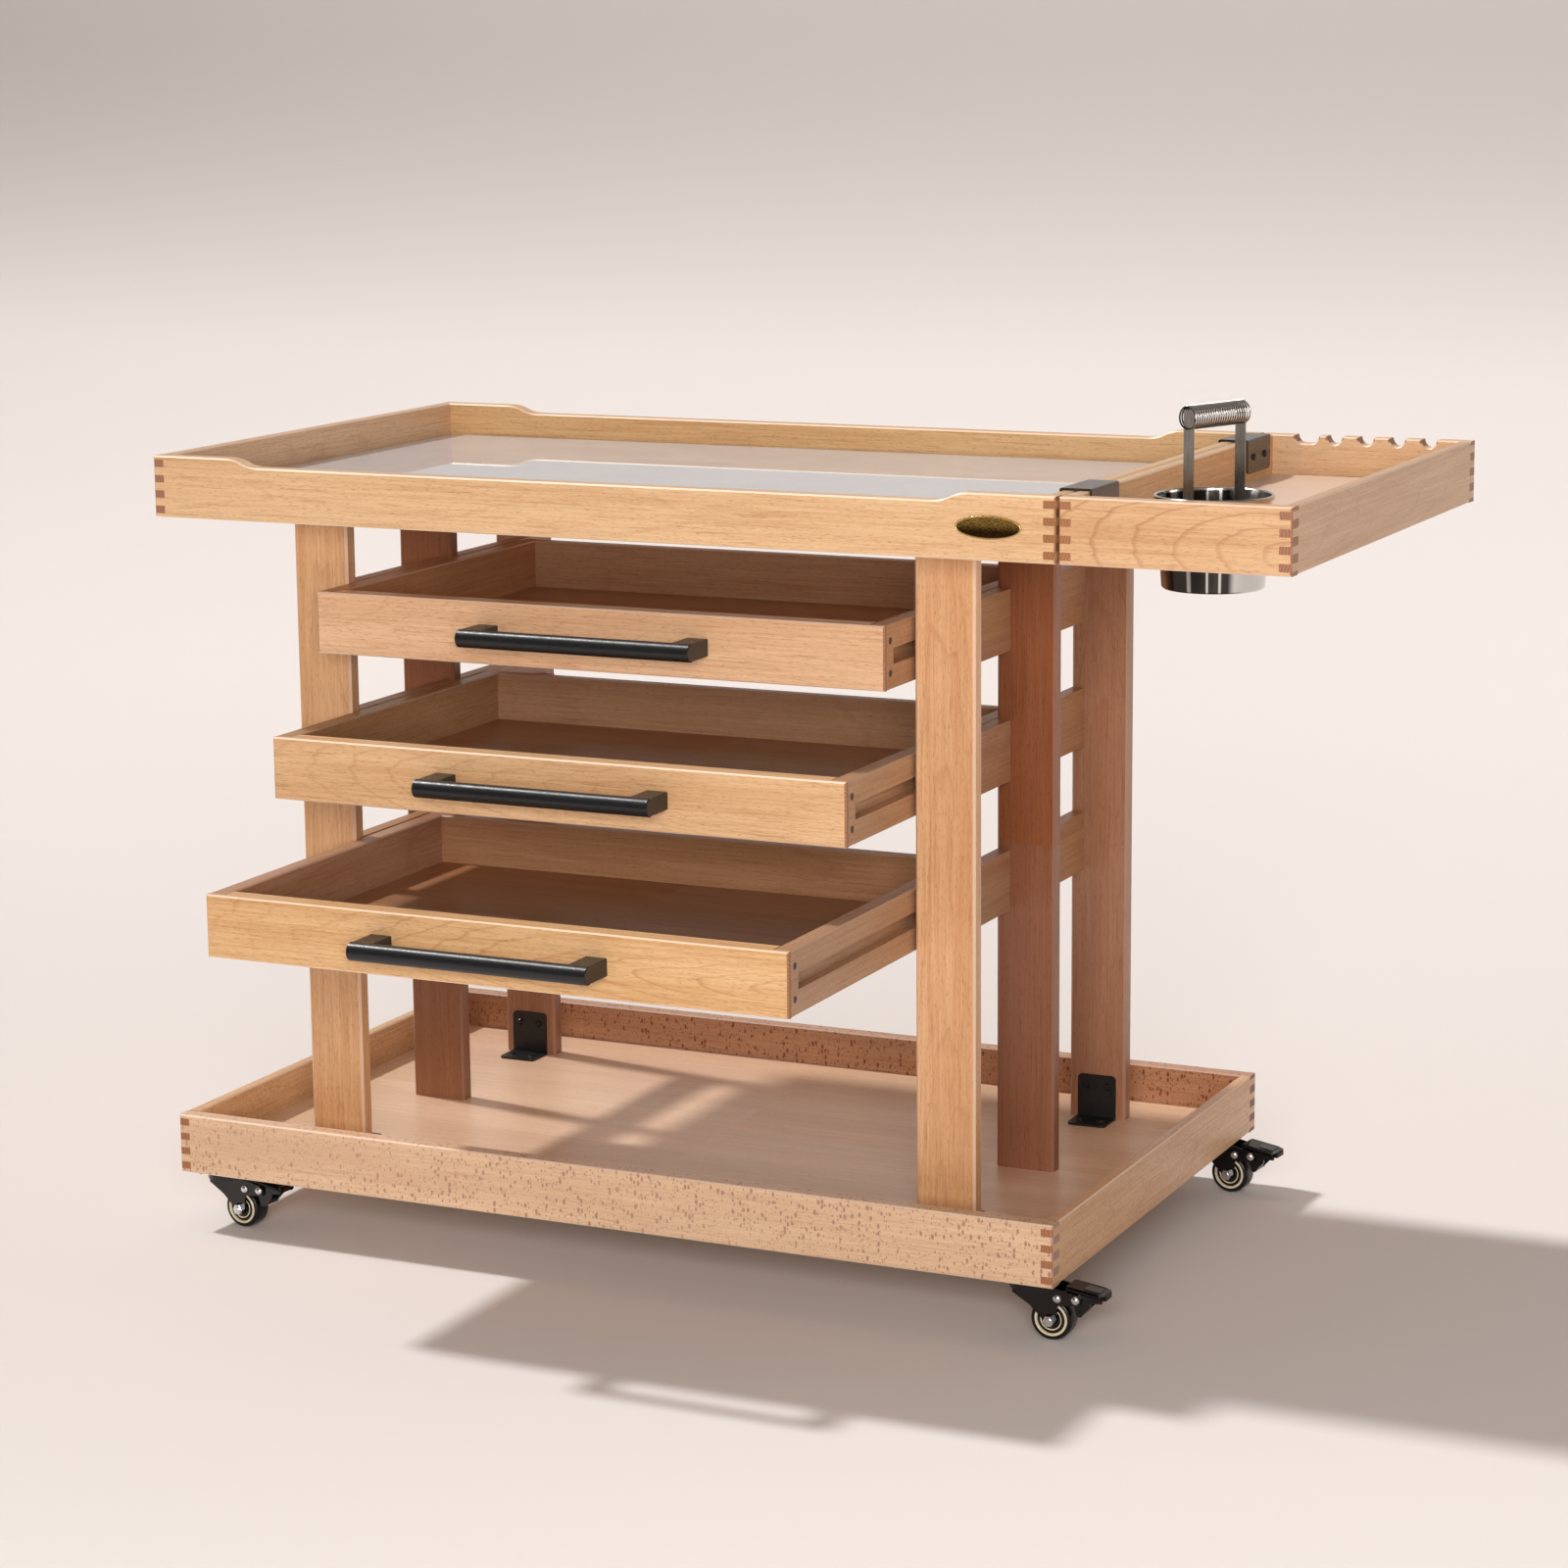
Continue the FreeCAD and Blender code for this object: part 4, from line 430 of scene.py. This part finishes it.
def bucketSteel():
    look = bucketLook
    made, tree, shader = baseMaterial("polished_steel_painted_reflections")
    local = localPlace(tree, "brush_bucket")
    level = vmath(tree, "MULTIPLY", local, (1, 1, 0)).outputs[0]
    outward = vmath(tree, "NORMALIZE", level).outputs[0]
    across = vmath(tree, "DOT_PRODUCT", outward, look["bandAxis"]).outputs["Value"]
    dark = calc(tree, "MULTIPLY", span(tree, across, *look["darkFrom"]), span(tree, across, *look["darkTo"]))
    for place, wide in look["lines"]:
        away = calc(tree, "ABSOLUTE", calc(tree, "SUBTRACT", across, place))
        dark = calc(tree, "MULTIPLY", dark, span(tree, away, wide * 0.4, wide, look["lineDark"], 1.0))
    wall = calc(tree, "GREATER_THAN", vmath(tree, "LENGTH", level).outputs["Value"], look["wallRadius"])
    low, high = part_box("brush_bucket")
    top = (high.z - low.z) / 2
    height = add(tree, "SeparateXYZ", None, {0: local}).outputs[2]
    below = span(tree, height, top - look["rim"][0], top - look["rim"][1], 1.0, 0.0)
    dark = calc(tree, "MULTIPLY", dark, calc(tree, "MULTIPLY", wall, below))
    # painted reflections: the dark bands and thin lines are mixed into the base colour
    tree.links.new(blendColor(tree, dark, rgb(*look["light"]), rgb(*look["dark"])), shader.inputs["Base Color"])
    setMetal(shader, look["rough"])
    return made


# painted highlight and shade: the wire is light where it faces away from the coil's axis and dark where it faces it
springLook = {"axis": (0.36, 0.933, 0), "inner": 0.009, "outer": 0.0094, "dark": (40, 38, 36),
              "light": (236, 232, 226), "rough": 0.2}


def springSteel():
    look = springLook
    made, tree, shader = baseMaterial("spring_steel_painted_highlight")
    away = vmath(tree, "CROSS_PRODUCT", localPlace(tree, "brush_spring"), look["axis"]).outputs[0]
    reach = vmath(tree, "LENGTH", away).outputs["Value"]
    shine = span(tree, reach, look["inner"], look["outer"])
    tree.links.new(blendColor(tree, shine, rgb(*look["dark"]), rgb(*look["light"])), shader.inputs["Base Color"])
    setMetal(shader, look["rough"])
    return made


black = surface("black_powder_coat", rgb(22, 22, 24), 0.4, bump=0.25)
satin = surface("satin_black", rgb(22, 23, 25), 0.36, bump=0.06, specular=0.5)
gloss = surface("gloss_black", rgb(8, 8, 9), 0.16, coat=0.3, specular=0.4)
rubber = surface("tyre_black", rgb(13, 13, 14), 0.3, specular=0.4)
cream = surface("ring_cream", rgb(232, 218, 184), 0.2, coat=0.4)
padGrey = surface("pad_grey", rgb(72, 72, 74), 0.34, bump=0.1, specular=0.4)
leverBlack = surface("lever_black", rgb(5, 5, 6), 0.1, specular=0.22)
for node, material in (
        ("post_brackets", black), ("frame_screws", black), ("hanging_bracket_screws", black),
        ("hanging_brackets", surface("bracket_black", rgb(20, 20, 22), 0.24, bump=0.1, specular=0.9)),
        ("caster_plates", surface("zinc_plated", rgb(196, 198, 200), 0.25, metallic=1.0)),
        ("brush_bucket", bucketSteel()), ("brush_spring", springSteel()), ("badge_plate", brassPlate()),
        ("brush_holder_frame", surface("brushed_steel", rgb(168, 164, 158), 0.3, metallic=1.0, grain=(900, 900, 60),
                                       bump=0.1)), ("glass_top", tableGlass())):
    paint(node, material)
for drawer in ("top", "middle", "bottom"):
    paint(drawer + "_drawer_handle", satin)
    paint(drawer + "_drawer_screws", black)
for corner in corners:
    paint(corner + "_fork", gloss)
    paint(corner + "_pedal", gloss)
    paint(corner + "_wheel", rubber)
print("stage: metals done")


def mirrored(profile):
    return profile + [(radius, -along) for radius, along in reversed(profile)]


# turns a profile of (radius, along) about the local y axis; marks give the material of each band
def lathe(shape, profile, marks, turn, steps=56, smooth=True):
    rings = []
    for radius, along in profile:
        count = steps if radius > 0 else 1
        angles = [2 * math.pi * step / steps for step in range(count)]
        rings.append([shape.verts.new(turn @ Vector((radius * math.cos(angle), along, radius * math.sin(angle))))
                      for angle in angles])
    for low, high, mark in zip(rings, rings[1:], marks):
        for step in range(steps):
            after = (step + 1) % steps
            loop = [low[step % len(low)], low[after % len(low)], high[after % len(high)], high[step % len(high)]]
            loop = [vert for index, vert in enumerate(loop) if vert not in loop[:index]]
            face = shape.faces.new(loop)
            face.material_index = mark
            face.smooth = smooth


def finishPiece(name, shape, materials, body, sharp=32):
    bmesh.ops.recalc_face_normals(shape, faces=shape.faces)
    for edge in shape.edges:
        if len(edge.link_faces) == 2 and edge.calc_face_angle() > math.radians(sharp):
            edge.smooth = False
    mesh = bpy.data.meshes.new(name)
    shape.to_mesh(mesh)
    shape.free()
    for material in materials:
        mesh.materials.append(material)
    made = bpy.data.objects.new(name, mesh)
    bpy.context.scene.collection.objects.link(made)
    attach(made, body)
    return made


def dome(shape, across, base, radius, high, sign, turn, mark=0):
    steps = 10
    profile = [(radius * math.cos(math.pi / 2 * step / steps), base + high * math.sin(math.pi / 2 * step / steps))
               for step in range(steps)] + [(0, base + high)]
    profile = [(first, sign * second) for first, second in profile]
    lathe(shape, profile, [mark] * steps, turn @ Matrix.Translation(across), 32)


# the casters' bright parts lie over the plain heads of the fork's rivets and axle
caster = {
    "spacer": (0.0265, 0, 0.019), "pivot": (0.042, 0, 0.0195), "trail": 0.02,
    "cheek": 0.01145, "rivet": (0.0037, 0.0025), "nut": 0.00497, "nutHigh": 0.0034,
    "lever": (0.0332, 0.0663), "leverHalf": 0.0108, "leverRound": 0.0055, "leverThick": 0.0044,
    "bendFrom": 0.056, "droop": 0.0016, "leverTop": (0.0296, -0.1311), "leverFrom": 0.034, "leverLift": 0.0003,
    "pad": (0.0475, 0.0605, 0.0055), "padLift": 0.0003, "padThick": 0.0008,
    "bolt": ((0.0027, -0.0002), (0.0027, 0.0004), (0.0022, 0.0008), (0, 0.0009)),
}
# one half of the wheel from its bore to its tread, and the material of each band: 0 tyre, 1 core, 2 cream ring
wheelProfile = [
    (0.0026, 0.009), (0.0055, 0.009), (0.0056, 0.0078), (0.0081, 0.0075), (0.0083, 0.0081), (0.0091, 0.0081),
    (0.0093, 0.0074), (0.0117, 0.0072), (0.0118, 0.0082), (0.0122, 0.0087), (0.0135, 0.0087), (0.0139, 0.0083),
    (0.0142, 0.0086), (0.0157, 0.0085), (0.0167, 0.0078), (0.0173, 0.0064), (0.0175, 0.0045),
]
wheelMarks = [1, 1, 1, 2, 2, 1, 1, 2, 2, 2, 2, 0, 0, 0, 0, 0]


# local x points along the fork and the origin lies on the wheel's axle, below the swivel
def casterTurn(corner):
    axle = Vector(joints[corner + "_roll"]["pos_m"])
    swivel = Vector(joints[corner + "_swivel"]["pos_m"])
    out = Vector((axle.x - swivel.x, axle.y - swivel.y, 0))
    return Matrix.Translation((swivel.x, swivel.y, axle.z)) @ Matrix.Rotation(math.atan2(out.y, out.x), 4, "Z")


def makeHardware(corner, turn):
    shape = bmesh.new()
    for sign in (-1, 1):
        for spot in ("spacer", "pivot"):
            dome(shape, caster[spot], caster["cheek"], *caster["rivet"], sign, turn)
        axle = turn @ Matrix.Translation((caster["trail"], 0, 0))
        wide, face = caster["nut"], caster["cheek"] + caster["nutHigh"]
        nut = [(wide, caster["cheek"]), (wide, face - 0.0004), (wide * 0.9, face), (0, face)]
        lathe(shape, [(first, sign * second) for first, second in nut], [0] * 3, axle, 6, False)
        bolt = [(radius, sign * (face + along)) for radius, along in caster["bolt"]]
        lathe(shape, bolt, [0] * 3, axle, 24)
    finishPiece(corner + "_hardware", shape, [chrome], corner + "_caster")


def makeWheel(corner, turn):
    shape = bmesh.new()
    profile = mirrored(wheelProfile)
    profile.append(profile[0])
    marks = wheelMarks + [0] + wheelMarks[::-1] + [1]
    lathe(shape, profile, marks, turn @ Matrix.Translation((caster["trail"], 0, 0)), 96)
    bmesh.ops.remove_doubles(shape, verts=shape.verts, dist=0.000001)
    made = finishPiece(corner + "_tyre", shape, [rubber, gloss, cream], corner + "_wheel_body")
    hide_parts(corner + "_wheel")


# an oblong with its own radius at each end
def roundedOutline(low, high, half, radius, backRadius):
    points = []
    for sign, corner, bend, start in ((-1, low, backRadius, 180), (-1, high, radius, 270), (1, high, radius, 0),
                                      (1, low, backRadius, 90)):
        inward = bend if corner == low else -bend
        for step in range(9):
            angle = math.radians(start + 90 * step / 8)
            points.append((corner + inward + bend * math.cos(angle), sign * (half - bend) + bend * math.sin(angle)))
    return points


# a plate of the outline with eased edges, under the height that top gives
def slab(shape, outline, turn, top, thick, ease, mark):
    rings = []
    cx = sum(point[0] for point in outline) / len(outline)
    for inset, drop in ((ease, 0), (ease * 0.3, ease * 0.3), (0, ease), (0, thick - ease), (ease, thick)):
        ring = []
        for x, y in outline:
            share = 1 - inset / 0.01
            at = (cx + (x - cx) * share, y * share)
            ring.append(shape.verts.new(turn @ Vector((at[0], at[1], top(at[0]) - drop))))
        rings.append(ring)
    for low, high in zip(rings, rings[1:]):
        for step in range(len(low)):
            after = (step + 1) % len(low)
            face = shape.faces.new((low[step], low[after], high[after], high[step]))
            face.smooth = True
            face.material_index = mark
    for ring in (rings[0], rings[-1]):
        shape.faces.new(ring).material_index = mark


def makeLever(corner, turn):
    level, slope = caster["leverTop"]

    def top(x):
        droop = max(0, x - caster["bendFrom"]) / (caster["lever"][1] - caster["bendFrom"])
        return level + slope * (x - caster["leverFrom"]) + caster["leverLift"] - droop * droop * caster["droop"]

    shape = bmesh.new()
    low, high = caster["lever"]
    outline = roundedOutline(low, high, caster["leverHalf"], caster["leverRound"], 0.0012)
    slab(shape, outline, turn, top, caster["leverThick"], 0.0008, 0)
    low, high, half = caster["pad"]
    outline = roundedOutline(low, high, half, 0.001, 0.001)
    slab(shape, outline, turn, lambda x: top(x) + caster["padLift"], caster["padThick"], 0.0002, 1)
    finishPiece(corner + "_lever", shape, [leverBlack, padGrey], corner + "_brake")


chrome = surface("chrome", rgb(236, 238, 242), 0.22, metallic=1.0)
for corner in corners:
    turn = casterTurn(corner)
    makeHardware(corner, turn)
    makeWheel(corner, turn)
    makeLever(corner, turn)
print("stage: casters done")


# a raised border round the plate on the front rail
def makeBadgeBorder():
    low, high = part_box("badge_plate")
    centre = (low + high) / 2
    wide, tall = (high.x - low.x) / 2, (high.z - low.z) / 2
    thick, proud = 0.0007, 0.0001
    shape = bmesh.new()
    rows = []
    for step in range(96):
        angle = 2 * math.pi * step / 96
        spot = Vector((math.cos(angle) * (wide - thick), 0, math.sin(angle) * (tall - thick)))
        out = Vector((math.cos(angle) * tall, 0, math.sin(angle) * wide)).normalized()
        ring = []
        for part in range(10):
            bend = 2 * math.pi * part / 10
            at = Vector((centre.x, low.y + proud, centre.z)) + spot + out * thick * math.cos(bend)
            ring.append(shape.verts.new(at + Vector((0, thick * math.sin(bend), 0))))
        rows.append(ring)
    for index, ring in enumerate(rows):
        after = rows[(index + 1) % len(rows)]
        for part in range(10):
            follow = (part + 1) % 10
            shape.faces.new((ring[part], ring[follow], after[follow], after[part])).smooth = True
    finishPiece("badge_border", shape, [brassLight], "cart", 80)


brassLight = surface("light_brass", rgb(236, 208, 138), 0.3, metallic=1.0)
makeBadgeBorder()


def stageMaterial(name, color, rough):
    made, tree, shader = baseMaterial(name)
    shader.inputs["Base Color"].default_value = color
    shader.inputs["Roughness"].default_value = rough
    shader.inputs["Specular IOR Level"].default_value = 0.2
    return made


def stagePiece(name, shape, material):
    mesh = bpy.data.meshes.new(name)
    shape.to_mesh(mesh)
    shape.free()
    made = bpy.data.objects.new(name, mesh)
    bpy.context.scene.collection.objects.link(made)
    mesh.materials.append(material)
    return made


# a floor that rises in one wide bend into a wall
def makeBackdrop():
    profile = [(-9.0, 0.0)]
    start, bend, top = 2.4, 2.2, 7.0
    for step in range(25):
        angle = math.pi / 2 * step / 24
        profile.append((start + bend * math.sin(angle), bend - bend * math.cos(angle)))
    profile.append((start + bend, top))
    shape = bmesh.new()
    rows = []
    for y, z in profile:
        rows.append([shape.verts.new((x, y, z)) for x in (-12, 12)])
    for low, high in zip(rows, rows[1:]):
        shape.faces.new((low[0], low[1], high[1], high[0])).smooth = True
    stagePiece("backdrop", shape, stageMaterial("backdrop_paper", rgb(226, 220, 217), 0.9))


# a dark upright screen in front of the cart that shows in reflections only
def makeScreen(name, left, right, high):
    foot = 0.02
    shape = bmesh.new()
    spots = ((*left, foot), (*right, foot), (*right, high), (*left, high))
    shape.faces.new([shape.verts.new(spot) for spot in spots])
    made = stagePiece(name, shape, screenPaint)
    for way in ("camera", "diffuse", "shadow", "transmission"):
        setattr(made, "visible_" + way, False)


makeBackdrop()
screenPaint = stageMaterial("screen_cloth", rgb(26, 22, 20), 0.95)
makeScreen("screen_middle", (-1.1, -1.9), (0.55, -2.25), 1.5)
makeScreen("screen_right", (0.85, -2.2), (1.15, -2.1), 1.5)


def areaLight(name, place, target, size, power, color):
    data = bpy.data.lights.new(name, "AREA")
    data.shape = "RECTANGLE"
    data.size, data.size_y = size
    data.energy = power
    data.color = color
    made = bpy.data.objects.new(name, data)
    made.location = place
    made.rotation_euler = (Vector(target) - Vector(place)).to_track_quat("-Z", "Y").to_euler()
    bpy.context.scene.collection.objects.link(made)


# name, place, target, size, power and colour
lights = (
    ("front", (1.5, -3.6, 1.35), (0.1, 0, 0.35), (1.8, 1.4), 108, (1.0, 0.97, 0.95)),
    ("wall", (-1.2, 0.8, 4.2), (-1.4, 4.6, 3.0), (4.0, 1.2), 90, (1.0, 0.985, 0.975)),
)
for light in lights:
    areaLight(*light)

# the shadows in the photo come from a lamp on the left, a little behind the cart
keySet = {"power": 2.3, "angle": math.radians(4), "color": (1.0, 0.995, 0.99), "way": (0.67, -0.1, -1)}


def makeKey(settings):
    data = bpy.data.lights.new("key", "SUN")
    data.energy, data.angle, data.color = settings["power"], settings["angle"], settings["color"]
    made = bpy.data.objects.new("key", data)
    made.rotation_euler = Vector(settings["way"]).to_track_quat("-Z", "Y").to_euler()
    bpy.context.scene.collection.objects.link(made)


makeKey(keySet)
worldSet = {
    "sky": (1.0, 0.86, 0.74, 1), "dark": (0.03, 0.028, 0.026, 1), "strength": 0.31, "seen": (224, 214, 207),
    "bands": ((-0.72, -0.42), (-0.16, 0.02), (0.74, 0.96)), "soft": 0.04,
}


# a pale studio with dark bands low in front, which give the metal its contrast; the camera sees a plain pale colour
def makeWorld(settings):
    world = bpy.data.worlds.new("studio")
    bpy.context.scene.world = world
    world.use_nodes = True
    tree = world.node_tree
    at = add(tree, "SeparateXYZ", None, {0: add(tree, "TexCoord").outputs["Generated"]}).outputs
    front = span(tree, at[1], 0.0, -0.12)
    low = span(tree, at[2], 0.62, 0.5)
    bands = 0.0
    for start, stop in settings["bands"]:
        begun = span(tree, at[0], start, start + settings["soft"])
        left = span(tree, at[0], stop, stop - settings["soft"])
        bands = calc(tree, "ADD", bands, calc(tree, "MULTIPLY", begun, left), clamp=True)
    dark = calc(tree, "MULTIPLY", calc(tree, "MULTIPLY", bands, front), low)
    shade = blendColor(tree, dark, settings["sky"], settings["dark"])
    dim = span(tree, at[0], -0.2, 0.7, 1.0, 0.45)
    shade = vmath(tree, "MULTIPLY", shade, vec(tree, dim, dim, dim)).outputs[0]
    seen = add(tree, "LightPath").outputs["Is Camera Ray"]
    shade = blendColor(tree, seen, shade, rgb(*settings["seen"]))
    tree.links.new(shade, tree.nodes["Background"].inputs["Color"])
    strength = span(tree, seen, 0, 1, settings["strength"], 1.0)
    tree.links.new(strength, tree.nodes["Background"].inputs["Strength"])


makeWorld(worldSet)
print("stage: light done")
